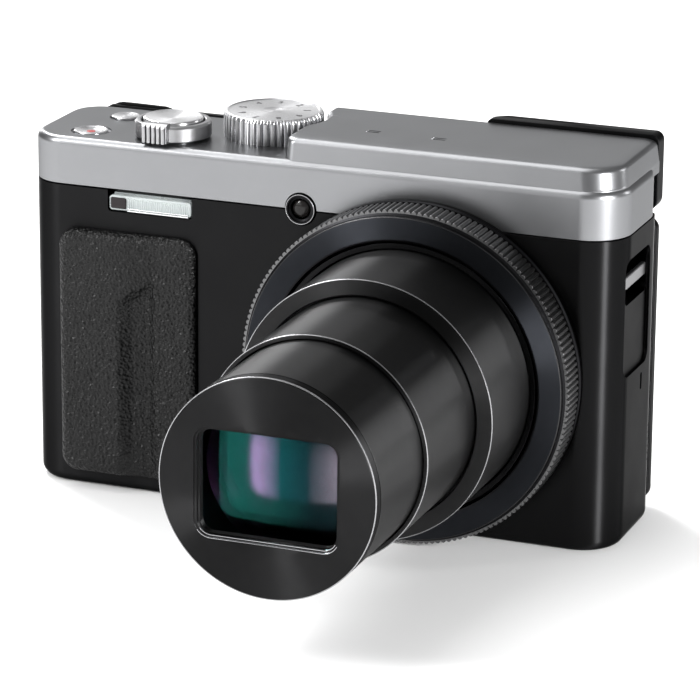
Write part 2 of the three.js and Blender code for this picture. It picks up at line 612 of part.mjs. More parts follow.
// A ring round the shutter button with a finger tab at its front left.
function zoomLever() {
  const { bore, r, cupR, z0, floorZ, z1 } = ZOOM_RING;
  const ring = standing(turned(closedRing([
    [bore, z0], [r, z0], [r, z1], [cupR, z1], [cupR, floorZ], [bore, floorZ],
  ]), 24), SHUTTER);
  const { halfWidth, y, z, turn } = ZOOM_TAB;
  const tab = extruded(roundedRectangle([-halfWidth, halfWidth], y, 0.6), z[1] - z[0]);
  const place = new THREE.Matrix4().makeRotationZ(turn).setPosition(SHUTTER.x, SHUTTER.y, z[0]);
  return ring
    .add(solid(tab.applyMatrix4(place)))
    .subtract(post(SHUTTER, cupR, [floorZ, FAR], 24));
}

function modeDial() {
  const { x, y, z, r, stemR, stemZ } = MODE_DIAL;
  const knurl = knurledShape(r, DIAL_KNURL.depth, DIAL_KNURL.ribs);
  const crown = extruded(knurl, z[1] - z[0]).translate(x, y, z[0]);
  return solid(crown).add(post(MODE_DIAL, stemR, [stemZ, z[0] + 0.2]));
}

add('shutter_button', shutterButton(), brightMetal);
add('zoom_lever', zoomLever(), silver);
add('mode_dial', modeDial(), silver);
add('power_button', post(POWER, POWER.r, POWER.z), brightMetal);
add('movie_button', post(MOVIE, MOVIE.r, MOVIE.z), brightMetal);

// ---------------------------------------------------------------- tilting screen
function screenFrame() {
  const { x, y, z, bezel, pocket } = SCREEN;
  const glassPocket = roundedRectangle(spread(x, -bezel), spread(z, -bezel), 1);
  const notch = block(spread(LINK.x, LINK.clearance), ALL, above(LINK_LOWER.z - LINK.notch));
  return runBack(roundedRectangle(x, z, 2), y)
    .subtract(runBack(glassPocket, [y[1] - pocket, y[1] + 1]))
    .subtract(notch)
    .subtract(rod(LINK.pinR + GAP, spread(LINK.x, LINK.clearance + LINK.pinLength), LINK_LOWER));
}

function screenGlass() {
  const inset = SCREEN.bezel + GAP;
  const shape = roundedRectangle(spread(SCREEN.x, -inset), spread(SCREEN.z, -inset), 0.8);
  return runBack(shape, [SCREEN.y[1] - SCREEN.pocket + GAP, SCREEN.y[1] + 0.1]);
}

// A flat link with a pin through each end, one in the rear cover's lugs and one in the screen.
function hingeLink() {
  const [upper, lower] = [LINK_UPPER, LINK_LOWER];
  const along = Math.atan2(upper.z - lower.z, upper.y - lower.y);
  const quarter = Math.PI / 2;
  const shape = new THREE.Shape();
  shape.absarc(upper.y, upper.z, LINK.r, along - quarter, along + quarter);
  shape.absarc(lower.y, lower.z, LINK.r, along + quarter, along + 3 * quarter);
  shape.closePath();
  const pinX = spread(LINK.x, LINK.pinLength);
  return runAcross(shape, LINK.x)
    .add(rod(LINK.pinR, pinX, upper))
    .add(rod(LINK.pinR, pinX, lower));
}

add('screen_frame', screenFrame(), blackPlastic);
add('screen_glass', screenGlass(), glass);
add('screen_hinge_link', hingeLink(), steel);

// ---------------------------------------------------------------- rear controls
const rearDial = () =>
  ringTube(REAR_DIAL.bore, REAR_DIAL.r, [BACK + GAP, BACK + GAP + REAR_DIAL.thickness], 32)
    .translate([REAR_DIAL.x, 0, REAR_DIAL.z]);

add('rear_dial', rearDial(), brightMetal);
add('set_button', plug(REAR_DIAL, SET_BUTTON.r, SET_BUTTON.y, 24), blackPlastic);
for (const [name, place] of Object.entries(REAR_BUTTONS)) {
  add(name, plug(place, REAR_BUTTON.r, REAR_BUTTON.y, 20), blackPlastic);
}

// ---------------------------------------------------------------- doors
// The battery door, with a knuckle along its hinge and a recess for its latch.
function batteryDoor() {
  const half = DOOR.thickness / 2;
  const knuckle = solid(disc(half, DOOR.y, 16).translate(DOOR.hingeX, 0, half));
  const recessX = [LATCH.x[0] - DOOR.margin, LATCH.x[1] + LATCH.travel + 0.6];
  return block([DOOR.x0, DOOR.hingeX], DOOR.y, [0, DOOR.thickness])
    .add(knuckle)
    .subtract(block(recessX, spread(LATCH.y, GAP), below(LATCH.recess)));
}

function terminalDoor() {
  const { y0, hingeY, z, thickness } = TERMINAL;
  const outside = -HALF_WIDTH;
  const knuckle = post({ x: outside + thickness / 2, y: hingeY }, thickness / 2, z, 16);
  return block([outside, outside + thickness], [y0, hingeY], z).add(knuckle);
}

add('battery_door', batteryDoor(), blackPlastic);
add('door_latch', blockOf(LATCH), steel);
add('terminal_door', terminalDoor(), blackPlastic);

export default camera;
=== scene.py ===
"""Looks of a compact travel-zoom camera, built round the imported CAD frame."""
import json
import math
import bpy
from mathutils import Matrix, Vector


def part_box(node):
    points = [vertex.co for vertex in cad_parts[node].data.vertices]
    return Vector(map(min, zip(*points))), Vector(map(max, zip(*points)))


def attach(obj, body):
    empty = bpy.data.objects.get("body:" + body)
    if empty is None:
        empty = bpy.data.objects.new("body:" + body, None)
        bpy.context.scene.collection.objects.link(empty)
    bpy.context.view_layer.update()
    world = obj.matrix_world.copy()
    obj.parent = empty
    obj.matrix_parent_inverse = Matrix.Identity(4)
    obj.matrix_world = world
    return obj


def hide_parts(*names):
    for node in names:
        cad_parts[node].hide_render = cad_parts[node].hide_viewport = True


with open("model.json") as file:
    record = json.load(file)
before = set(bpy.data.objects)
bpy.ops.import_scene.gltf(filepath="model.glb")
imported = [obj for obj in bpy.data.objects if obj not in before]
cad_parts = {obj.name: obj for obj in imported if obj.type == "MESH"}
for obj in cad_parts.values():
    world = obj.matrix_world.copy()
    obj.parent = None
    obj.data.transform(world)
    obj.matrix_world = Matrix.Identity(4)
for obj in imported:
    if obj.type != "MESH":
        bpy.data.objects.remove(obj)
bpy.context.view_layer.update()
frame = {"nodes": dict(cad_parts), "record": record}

from types import SimpleNamespace

import bmesh
import bpy
from mathutils import Matrix, Vector, noise

MM = 0.001
noise.seed_set(7)  # without a seed of its own, noise_vector starts from the clock


# ---- places, from the frame, in millimetres
def place(node):
    """A CAD node's limits along x, y and z, its middle in space and in two planes, and half its width."""
    low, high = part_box(node)
    x, y, z = [(low[i] / MM, high[i] / MM) for i in range(3)]
    mid = [(low[i] + high[i]) / 2 / MM for i in range(3)]
    return SimpleNamespace(x=x, y=y, z=z, mid=mid, xy=(mid[0], mid[1]), xz=(mid[0], mid[2]), r=(x[1] - x[0]) / 2)


def places(*nodes):
    return [place(node) for node in nodes]


FRONT_COVER, REAR_COVER, TOP_COVER = places("front_cover", "rear_cover", "top_cover")
LEVER, LENS_BODY = places("zoom_lever", "lens_housing")

SIDE = FRONT_COVER.x[1]
FRONT = FRONT_COVER.y[0]
BACK = place("thumb_rest").y[0] - 0.3
WALL = 1.3
GAP = 0.3
DECK = LEVER.z[0] - GAP
SEAM_Y = (FRONT_COVER.y[1], REAR_COVER.y[0])
SEAM_Z = (FRONT_COVER.z[1], TOP_COVER.z[0])
CORNER_RADII = (7.0, 7.5, 6.5, 6.0)  # front left, front right, back right, back left
LENS_X, LENS_Z = LENS_BODY.xz


# ---- outlines, as lists of (u, v) in millimetres
def arc(centre, radius, start, end, steps=8):
    """Points along an arc, with its angles in degrees."""
    points = []
    for k in range(steps + 1):
        a = math.radians(start + (end - start) * k / steps)
        points.append((centre[0] + radius * math.cos(a), centre[1] + radius * math.sin(a)))
    return points


def rounded_box(u, v, radii, steps=8):
    """A counter-clockwise box outline. Radii go round from the low corner."""
    r = radii if isinstance(radii, (tuple, list)) else (radii,) * 4
    return (
        arc((u[0] + r[0], v[0] + r[0]), r[0], 180, 270, steps)
        + arc((u[1] - r[1], v[0] + r[1]), r[1], 270, 360, steps)
        + arc((u[1] - r[2], v[1] - r[2]), r[2], 0, 90, steps)
        + arc((u[0] + r[3], v[1] - r[3]), r[3], 90, 180, steps)
    )


def centred(middle, size):
    return (middle - size / 2, middle + size / 2)


def grown(limits, by):
    return (limits[0] - by, limits[1] + by)


def inset(points, distance):
    """An outline moved inwards, each corner along its mitre."""
    moved = []
    count = len(points)
    for i, here in enumerate(points):
        before, after = Vector(points[i - 1]), Vector(points[(i + 1) % count])
        here = Vector(here)
        first, second = (here - before).normalized(), (after - here).normalized()
        n1, n2 = Vector((-first.y, first.x)), Vector((-second.y, second.x))
        mitre = (n1 + n2) / max(0.4, 1 + n1.dot(n2))
        moved.append(tuple(here + mitre * distance))
    return moved


def soften(points, radius, steps=3, closed=True):
    """A polyline with each corner turned into a short curve. A radius may be given for each corner."""
    out = []
    count = len(points)
    for i, here in enumerate(points):
        if not closed and i in (0, count - 1):
            out.append(tuple(here))
            continue
        before, after = Vector(points[i - 1]), Vector(points[(i + 1) % count])
        here = Vector(here)
        r = radius[i] if isinstance(radius, (tuple, list)) else radius
        r = min(r, 0.45 * (here - before).length, 0.45 * (after - here).length)
        if r < 1e-4:
            out.append(tuple(here))
            continue
        start = here + (before - here).normalized() * r
        end = here + (after - here).normalized() * r
        for k in range(steps + 1):
            t = k / steps
            out.append(tuple(start * (1 - t) ** 2 + here * 2 * t * (1 - t) + end * t * t))
    return out


def rounded_ends(depth, low_round, high_round, steps=3):
    """(inset, depth) pairs of a bar's rounded ends, from its low end to its high end."""
    pairs = []
    for k in range(steps + 1):
        a = math.pi / 2 * k / steps
        pairs.append((low_round * (1 - math.sin(a)), depth[0] + low_round * (1 - math.cos(a))))
    for k in range(steps + 1):
        a = math.pi / 2 * (1 - k / steps)
        pairs.append((high_round * (1 - math.sin(a)), depth[1] - high_round * (1 - math.cos(a))))
    return pairs


def off(r, h, *steps):
    """Profile points counted from a corner at (r, h). A point may carry a share of a rib's depth."""
    return [(r + step[0], h + step[1], *step[2:]) for step in steps]


# ---- meshes
TO_SPACE = {
    "xy": lambda u, v, d: (u, v, d),
    "xz": lambda u, v, d: (u, d, v),
    "yz": lambda u, v, d: (d, u, v),
}


def linked(name, data):
    """An object in the scene."""
    made = bpy.data.objects.new(name, data)
    bpy.context.scene.collection.objects.link(made)
    return made


def new_object(name, mesh_maker):
    """A mesh object in metres from a bmesh in millimetres, with its faces pointing out."""
    mesh = bpy.data.meshes.new(name)
    bmesh.ops.remove_doubles(mesh_maker, verts=mesh_maker.verts, dist=1e-4)
    bmesh.ops.recalc_face_normals(mesh_maker, faces=mesh_maker.faces)
    bmesh.ops.scale(mesh_maker, vec=(MM, MM, MM), verts=mesh_maker.verts)
    mesh_maker.to_mesh(mesh)
    mesh_maker.free()
    return linked(name, mesh)


def join_rings(maker, rings, closed=False, caps=True):
    """Quads between rings of points. A ring of one point is a pole."""
    made = [[maker.verts.new(p) for p in ring] for ring in rings]
    pairs = list(zip(made, made[1:]))
    if closed:
        pairs.append((made[-1], made[0]))
    for low, high in pairs:
        count = max(len(low), len(high))
        for i in range(count):
            j = (i + 1) % count
            corners = [low[i % len(low)], low[j % len(low)], high[j % len(high)], high[i % len(high)]]
            corners = list(dict.fromkeys(corners))
            if len(corners) > 2:
                maker.faces.new(corners)
    if caps and not closed:
        for ring in (made[0], made[-1]):
            if len(ring) > 2:
                maker.faces.new(ring)


def loft(name, rings):
    maker = bmesh.new()
    join_rings(maker, rings)
    return new_object(name, maker)


def prism(name, outline, depth, plane="xz", rounding=(0.0, 0.0), steps=3):
    """An outline run through a pair of depths, with rounded edges at both ends."""
    spot = TO_SPACE[plane]
    rings = []
    for shift, d in rounded_ends(depth, *rounding, steps=steps):
        shape = inset(outline, shift) if shift > 1e-6 else outline
        rings.append([spot(u, v, d) for u, v in shape])
    return loft(name, rings)


def lathe_rings(profile, centre, axis, segments):
    """Rings of points for a profile of (radius, height) turned about an axis."""
    rings = []
    for r, h in profile:
        count = 1 if r < 1e-6 else segments
        ring = []
        for k in range(count):
            a = 2 * math.pi * k / segments
            c, s = r * math.cos(a), r * math.sin(a)
            if axis == "y":
                ring.append((centre[0] + c, h, centre[1] + s))
            elif axis == "z":
                ring.append((centre[0] + c, centre[1] + s, h))
            else:
                ring.append((h, centre[0] + c, centre[1] + s))
        rings.append(ring)
    return rings


def lathe(name, profile, centre=(LENS_X, LENS_Z), axis="y", segments=128, ease=0.0):
    """A turned piece. A profile that starts on the axis ends there too, and any other is closed into a ring."""
    closed = profile[0][0] > 0
    if ease:
        profile = soften(profile, ease, closed=closed)
    maker = bmesh.new()
    join_rings(maker, lathe_rings(profile, centre, axis, segments), closed=closed, caps=False)
    return new_object(name, maker)


def knurled(name, profile, centre, axis, ribs, depth, steps=6, sharp=1.0):
    """A turned piece with ribs round it. Each profile point says how deep its ribs are, from 0 to 1."""
    segments = ribs * steps
    rings = lathe_rings([(r, h) for r, h, share in profile], centre, axis, segments)
    cuts = [depth * (1 - abs(math.sin(math.pi * k / steps))) ** sharp for k in range(segments)]
    flat = {"y": (0, 2), "z": (0, 1), "x": (1, 2)}[axis]
    for (r, h, share), ring in zip(profile, rings):
        if not share or len(ring) == 1:
            continue
        for k, point in enumerate(ring):
            scale = (r - share * cuts[k]) / r
            point = list(point)
            for i, c in zip(flat, centre):
                point[i] = c + (point[i] - c) * scale
            ring[k] = tuple(point)
    maker = bmesh.new()
    join_rings(maker, rings, closed=profile[0][0] > 0, caps=False)
    return new_object(name, maker)


def join(name, *pieces):
    """Several objects as one mesh."""
    maker = bmesh.new()
    for piece in pieces:
        maker.from_mesh(piece.data)
        bpy.data.objects.remove(piece)
    mesh = bpy.data.meshes.new(name)
    maker.to_mesh(mesh)
    maker.free()
    return linked(name, mesh)


def settle(piece):
    """Turns a piece's modifiers into its mesh."""
    graph = bpy.context.evaluated_depsgraph_get()
    mesh = bpy.data.meshes.new_from_object(piece.evaluated_get(graph))
    piece.modifiers.clear()
    piece.data = mesh
    return piece


def boolean(piece, operation, tools):
    for tool in tools:
        step = piece.modifiers.new("step", "BOOLEAN")
        step.operation = operation
        step.solver = "EXACT"
        step.object = tool
    settle(piece)
    for tool in tools:
        bpy.data.objects.remove(tool)
    return piece


def cut(piece, *tools):
    return boolean(piece, "DIFFERENCE", tools)


def fuse(piece, *tools):
    return boolean(piece, "UNION", tools)


def ease_edges(piece, width, segments=2, angle=35):
    """Rounds the sharp edges of a piece."""
    maker = bmesh.new()
    maker.from_mesh(piece.data)
    bmesh.ops.remove_doubles(maker, verts=maker.verts, dist=2e-6)
    bmesh.ops.dissolve_degenerate(maker, edges=maker.edges, dist=2e-6)
    maker.to_mesh(piece.data)
    maker.free()
    step = piece.modifiers.new("edges", "BEVEL")
    step.width = width * MM
    step.segments = segments
    step.limit_method = "ANGLE"
    step.angle_limit = math.radians(angle)
    step.use_clamp_overlap = True
    step.miter_outer = "MITER_ARC"
    return settle(piece)


def bar(name, u, v, radii, depth, plane="xz", rounding=(0.0, 0.0), steps=3):
    """A rounded box run through a pair of depths."""
    return prism(name, rounded_box(u, v, radii), depth, plane, rounding, steps)


def box(x, y, z):
    """A cutting tool."""
    return prism("tool", [(x[0], y[0]), (x[1], y[0]), (x[1], y[1]), (x[0], y[1])], z, "xy")


def pin(centre, radius, depth, axis="y", segments=64):
    """A round cutting tool or post."""
    profile = [(0, depth[0]), (radius, depth[0]), (radius, depth[1]), (0, depth[1])]
    return lathe("tool", profile, centre, axis, segments)


def finished(piece, body, material, slot, *nodes, angle=32):
    """Smooth shading, material, body and the CAD nodes the piece stands for, which it hides. The slot is not used.
    """
    mesh = piece.data
    mesh.materials.clear()
    mesh.materials.append(material)
    mesh.shade_smooth()
    mesh.set_sharp_from_angle(angle=math.radians(angle))
    step = piece.modifiers.new("normals", "WEIGHTED_NORMAL")
    step.keep_sharp = True
    step.weight = 80
    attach(piece, body)
    if nodes:
        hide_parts(*nodes)
    return piece


def turned(name, body, material, slot, profile, *nodes, angle=32, **how):
    """A finished piece made by lathe."""
    return finished(lathe(name, profile, **how), body, material, slot, *nodes, angle=angle)


# ---- materials
CLOUD_SIZE = 9.0
QUARTER_TURN = 0.25


def node_kit(name):
    material = bpy.data.materials.new(name)
    material.use_nodes = True
    tree = material.node_tree
    shader = tree.nodes["Principled BSDF"]
    coordinates = tree.nodes.new("ShaderNodeTexCoord").outputs["Object"]
    return material, tree, shader, coordinates


def wire(tree, node, values, sources):
    """Sets some of a node's inputs by name, and links others to their sources."""
    for name, value in values.items():
        node.inputs[name].default_value = value
    for name, source in sources.items():
        tree.links.new(source, node.inputs[name])
    return node


def noise_map(tree, where, size, detail=3.0, stretch=None):
    """Cloudy noise with features of a given size in millimetres, stretched along an axis if asked."""
    if stretch:
        mapping = tree.nodes.new("ShaderNodeMapping")
        where = wire(tree, mapping, {"Scale": stretch}, {"Vector": where}).outputs["Vector"]
    texture = tree.nodes.new("ShaderNodeTexNoise")
    wire(tree, texture, {"Scale": 1 / (size * MM), "Detail": detail}, {"Vector": where})
    return texture.outputs["Fac"]


def spread_value(tree, source, low, high, start=0.3, end=0.7):
    """A noise value spread over a range."""
    node = tree.nodes.new("ShaderNodeMapRange")
    limits = {"From Min": start, "From Max": end, "To Min": low, "To Max": high}
    return wire(tree, node, limits, {"Value": source}).outputs["Result"]


def blend_colours(tree, factor, first, second):
    node = tree.nodes.new("ShaderNodeMix")
    node.data_type = "RGBA"
    return wire(tree, node, {"A": (*first, 1), "B": (*second, 1)}, {"Factor": factor}).outputs["Result"]


def add_bump(tree, shader, height, depth, strength=1.0, below=None):
    """Bump of a given depth in millimetres, on top of another bump if one is given."""
    node = tree.nodes.new("ShaderNodeBump")
    sources = {"Height": height, "Normal": below} if below else {"Height": height}
    wire(tree, node, {"Distance": depth * MM, "Strength": strength}, sources)
    tree.links.new(node.outputs["Normal"], shader.inputs["Normal"])
    return node.outputs["Normal"]


def draw_out(tree, shader, axis, amount):
    """Stretches the shine along an axis, across the rings that run round it."""
    tangent = tree.nodes.new("ShaderNodeTangent")
    tangent.direction_type = "RADIAL"
    tangent.axis = axis
    wire(tree, shader, {"Anisotropic": amount, "Anisotropic Rotation": QUARTER_TURN},
         {"Tangent": tangent.outputs["Tangent"]})


def coated(name, colour, roughness, metallic=0.0, specular=0.5, grain=0.25, depth=0.004, variation=0.12,
           rough_spread=0.06, stretch=None, coat=0.0, rim=1.0, streak=0.0):
    """A moulded, painted or machined surface: fine grain, cloudy colour and gloss."""
    material, tree, shader, where = node_kit(name)
    cloud = noise_map(tree, where, CLOUD_SIZE, detail=4)
    fine = noise_map(tree, where, grain, detail=2, stretch=stretch)
    darker, lighter = (tuple(c * share for c in colour) for share in (1 - variation, 1 + variation))
    wire(tree, shader, {
        "Metallic": metallic, "Specular IOR Level": specular, "Coat Weight": coat,
        "Specular Tint": (rim, rim, rim, 1),
    }, {
        "Base Color": blend_colours(tree, spread_value(tree, cloud, 0, 1), darker, lighter),
        "Roughness": spread_value(tree, cloud, roughness - rough_spread, roughness + rough_spread),
    })
    if streak:
        draw_out(tree, shader, "Z", streak)
    add_bump(tree, shader, fine, depth)
    return material


def metal(name, colour, roughness, **looks):
    """Bare metal, or paint as glossy as metal whose rim says how far it shines at a grazing angle."""
    return coated(name, colour, roughness, metallic=1.0, **looks)


BODY_BLACK = metal("body_black", (0.0128, 0.0128, 0.0132), 0.34, grain=0.12, depth=0.002, variation=0.06,
                   rough_spread=0.03, rim=0.49, streak=0.92)
LENS_BLACK = metal("lens_black", (0.014, 0.014, 0.015), 0.3, depth=0.0004, variation=0.05, rough_spread=0.015,
                   rim=0.6)
RIB_METAL = metal("rib_metal", (0.14, 0.14, 0.142), 0.32, grain=0.2, depth=0.0004, variation=0.05,
                  rough_spread=0.03)
# brighter metals for thin edge rings and lips: painted highlights on rounded edges
PAINTED_RIM_HIGHLIGHT_METAL = metal("painted_rim_highlight_metal", (0.06, 0.06, 0.061), 0.22, grain=0.2, depth=0.0004, variation=0.05)
PAINTED_HIGHLIGHT_METAL = metal("painted_highlight_metal", (0.34, 0.34, 0.35), 0.2, grain=0.2, depth=0.0005, variation=0.04)
SILVER = metal("top_silver", (0.24, 0.243, 0.251), 0.315, grain=0.1, depth=0.0015, variation=0.03,
               rough_spread=0.02, rim=0.5)
SATIN_METAL = metal("satin_metal", (0.36, 0.36, 0.368), 0.32, grain=0.15, depth=0.0015, variation=0.04,
                    rough_spread=0.03, rim=0.6)
CHROME = metal("chrome", (0.72, 0.72, 0.73), 0.12, grain=0.4, depth=0.0006, variation=0.03)
STEEL = metal("steel", (0.25, 0.25, 0.257), 0.36, grain=0.12, depth=0.002, stretch=(1, 1, 12), rough_spread=0.04,
              rim=0.7)
BLADE_METAL = coated("blade_metal", (0.012, 0.012, 0.013), 0.38, metallic=0.6, grain=0.1, depth=0.002,
                     stretch=(12, 1, 1))
RUBBER = coated("rubber", (0.006, 0.006, 0.006), 0.62, specular=0.2, grain=0.2, depth=0.01)
PRINT_GREY = coated("print_grey", (0.02, 0.02, 0.022), 0.5, specular=0.3, grain=0.1, depth=0.001)
RED_PAINT = coated("red_paint", (0.30, 0.012, 0.01), 0.4, specular=0.4, grain=0.1, depth=0.001)
SMOKED = metal("smoked_window", (0.03, 0.027, 0.028), 0.1, grain=0.5, depth=0.0002, rim=0.6)
SCREEN_GLASS = coated("screen_glass", (0.004, 0.004, 0.005), 0.07, grain=2.0, depth=0.0002, coat=0.6)
SCREEN_PANEL = coated("screen_panel", (0.008, 0.009, 0.012), 0.12, grain=2.0, depth=0.0002, coat=0.6)
MIRROR_WHITE = coated("mirror_white", (0.34, 0.37, 0.37), 0.3, metallic=0.4, grain=0.4, depth=0.001,
                      variation=0.03)
FROSTED = coated("frosted_tube", (0.6, 0.6, 0.55), 0.3, grain=0.3, depth=0.001)
BOARD = coated("board", (0.01, 0.055, 0.025), 0.45, specular=0.4, grain=0.6, depth=0.01, variation=0.3)
CELL = coated("cell", (0.012, 0.013, 0.016), 0.45, specular=0.3, grain=0.3)
SENSOR_GLASS = coated("sensor_glass", (0.02, 0.03, 0.05), 0.06, grain=1.0, depth=0.0002, coat=0.4)


def leatherette():
    """Black pebbled covering: small cells and pores over the modelled pebbles."""
    material, tree, shader, where = node_kit("grip_leatherette")
    cells = tree.nodes.new("ShaderNodeTexVoronoi")
    wire(tree, cells, {"Scale": 1 / (0.6 * MM)}, {"Vector": where})
    pores = noise_map(tree, where, 0.14)
    patches = spread_value(tree, noise_map(tree, where, 6.0), 0, 1)
    wire(tree, shader, {"Specular IOR Level": 0.27}, {
        "Base Color": blend_colours(tree, patches, (0.001, 0.001, 0.00105), (0.0026, 0.0026, 0.0027)),
        "Roughness": spread_value(tree, pores, 0.3, 0.46),
    })
    first = add_bump(tree, shader, cells.outputs["Distance"], 0.26)
    add_bump(tree, shader, pores, 0.03, 0.8, below=first)
    return material


def spun_metal(name, colour, where_on, axis="Z", roughness=0.28, rim=1.0, fan=0.8):
    """Metal turned on a lathe: fine rings about the piece's own axis, and a fan-shaped shine."""
    material, tree, shader, where = node_kit(name)
    mapping = tree.nodes.new("ShaderNodeMapping")
    wire(tree, mapping, {"Location": tuple(-c * MM for c in where_on.mid)}, {"Vector": where})
    rings = tree.nodes.new("ShaderNodeTexWave")
    rings.wave_type = "RINGS"
    rings.rings_direction = axis
    wire(tree, rings, {"Scale": 1 / (0.7 * MM), "Distortion": 0.4}, {"Vector": mapping.outputs["Vector"]})
    cloud = spread_value(tree, noise_map(tree, where, 2.0), 0, 1)
    wire(tree, shader, {"Metallic": 1.0, "Specular Tint": (rim, rim, rim, 1)}, {
        "Base Color": blend_colours(tree, cloud, tuple(c * 0.92 for c in colour), colour),
        "Roughness": spread_value(tree, rings.outputs["Fac"], roughness - 0.03, roughness + 0.03, 0, 1),
    })
    draw_out(tree, shader, axis, fan)
    add_bump(tree, shader, rings.outputs["Fac"], 0.002, 0.5)
    return material


def across_lens(tree, where, reach):
    """From 0 on the left side of the lens to 1 on its right."""
    axes = tree.nodes.new("ShaderNodeSeparateXYZ")
    tree.links.new(where, axes.inputs["Vector"])
    return spread_value(tree, axes.outputs["X"], 0, 1, (LENS_X - reach) * MM, (LENS_X + reach) * MM)


def coated_glass(name, colour, tint, roughness=0.015, transmission=0.0, ior=1.6, painted_far_tint=None):
    """Optical glass with a coating that tints its reflections, and may shift that tint across the lens as a painted
    reflection.
    """
    material, tree, shader, where = node_kit(name)
    dust = noise_map(tree, where, 4.0)
    wire(tree, shader, {"IOR": ior, "Transmission Weight": transmission, "Specular Tint": (*tint, 1)}, {
        "Base Color": blend_colours(tree, spread_value(tree, dust, 0, 1), colour, tuple(c * 1.25 for c in colour)),
        "Roughness": spread_value(tree, dust, roughness, roughness * 1.6),
    })
    # painted reflection: the reflection tint blends from left to right across the lens
    if painted_far_tint:
        shift = blend_colours(tree, across_lens(tree, where, 6), tint, painted_far_tint)
        tree.links.new(shift, shader.inputs["Specular Tint"])
    return material


def painted_reflection_coating(name):
    """An inner element's face with a painted reflection: lilac on one side, dark teal in the middle, rose on the
    other.
    """
    material, tree, shader, where = node_kit(name)
    ramp = tree.nodes.new("ShaderNodeValToRGB")
    # painted reflection: metal colours set from left to right across the lens stand in for lilac, dark teal and
    # rose reflections
    painted_reflection_stops = ((0.0, (0.7, 0.16, 0.4)), (1.0, (0.5, 0.16, 0.2)), (0.3, (0.6, 0.14, 0.3)),
             (0.48, (0.006, 0.022, 0.032)), (0.68, (0.01, 0.014, 0.02)))
    ends = list(ramp.color_ramp.elements)
    for index, (at, colour) in enumerate(painted_reflection_stops):
        stop = ends[index] if index < 2 else ramp.color_ramp.elements.new(at)
        stop.color = (*colour, 1)
    tree.links.new(across_lens(tree, where, 11), ramp.inputs["Fac"])
    dust = noise_map(tree, where, 4.0)
    wire(tree, shader, {"Metallic": 1.0}, {
        "Base Color": ramp.outputs["Color"],
        "Roughness": spread_value(tree, dust, 0.2, 0.22),
    })
    return material


LEATHERETTE = leatherette()
TURNED_BLACK = spun_metal("turned_black", (0.031, 0.031, 0.0315), LENS_BODY, "Y", 0.36, 0.85, 0.95)
DISC_BLACK = spun_metal("disc_black", (0.021, 0.021, 0.0215), LENS_BODY, "Y", 0.42, 0.6, 1.0)
RING_FACE = spun_metal("ring_face", (0.03, 0.032, 0.037), LENS_BODY, "Y", 0.42, 0.7, 1.0)
# front glass: teal coating, with a painted reflection that darkens towards the right
FRONT_GLASS = coated_glass("front_glass", (0.5, 0.8, 0.8), (0.004, 0.4, 0.33), transmission=1.0, ior=1.62,
                           painted_far_tint=(0.006, 0.05, 0.065))
# inner glass whose colour is a painted reflection across the lens
PAINTED_REFLECTION_GLASS = painted_reflection_coating("painted_reflection_glass")
FINDER_GLASS = coated_glass("finder_glass", (0.01, 0.012, 0.02), (0.6, 0.6, 1.0))
LAMP_GLASS = coated_glass("lamp_glass", (0.008, 0.007, 0.007), (1, 1, 1), ior=1.35, roughness=0.1)
CLEAR_PLASTIC = coated_glass("clear_plastic", (0.5, 0.54, 0.54), (1, 1, 1), ior=1.49, roughness=0.12)
CLEAR_PLASTIC.node_tree.nodes["Principled BSDF"].inputs["Alpha"].default_value = 0.5


# ---- camera, floor and lights
VIEW = SimpleNamespace(
    azimuth=21.04, elevation=17.31, roll=0.48, distance=676.4, target=(6.55, FRONT, 34.0), lens=196.95,
    shift=(0.0034, -0.01426))


def direction(azimuth, elevation):
    """From the camera body outwards, with angles in degrees. Azimuth 0 is straight in front."""
    a, e = math.radians(azimuth), math.radians(elevation)
    return Vector((math.sin(a) * math.cos(e), -math.cos(a) * math.cos(e), math.sin(e)))


def make_camera():
    a, roll = math.radians(VIEW.azimuth), math.radians(VIEW.roll)
    back = direction(VIEW.azimuth, VIEW.elevation)
    right = Vector((math.cos(a), math.sin(a), 0))
    up = back.cross(right)
    turned = (right * math.cos(roll) + up * math.sin(roll), up * math.cos(roll) - right * math.sin(roll))
    data = bpy.data.cameras.new("camera")
    data.sensor_width = 36
    data.lens = VIEW.lens
    data.shift_x, data.shift_y = VIEW.shift
    data.clip_start, data.clip_end = 0.01, 50
    camera = linked("camera", data)
    matrix = Matrix((turned[0], turned[1], back)).transposed().to_4x4()
    matrix.translation = (Vector(VIEW.target) + back * VIEW.distance) * MM
    camera.matrix_world = matrix
    bpy.context.scene.camera = camera


def make_floor():
    material, tree, shader, where = node_kit("floor")
    shade = spread_value(tree, noise_map(tree, where, 60), 0, 1)
    paint = blend_colours(tree, shade, (0.90, 0.90, 0.90), (0.92, 0.92, 0.92))
    wire(tree, shader, {"Roughness": 0.9, "Specular IOR Level": 0.1}, {"Base Color": paint})
    far, thick = 6000, 5
    corners = ((-far, -far), (far, -far), (far, far), (-far, far))
    floor = loft("floor", [[(x, y, z) for x, y in corners] for z in (-thick, 0)])
    floor.data.materials.append(material)


def softbox(name, azimuth, elevation, distance, size, power):
    """An area light aimed at the middle of the camera body."""
    back = direction(azimuth, elevation)
    data = bpy.data.lights.new(name, "AREA")
    data.shape = "RECTANGLE"
    data.size, data.size_y = size
    data.energy = power
    light = linked(name, data)
    light.location = Vector((0, -0.03, 0.035)) + back * distance
    light.rotation_mode = "QUATERNION"
    light.rotation_quaternion = back.to_track_quat("Z", "Y")


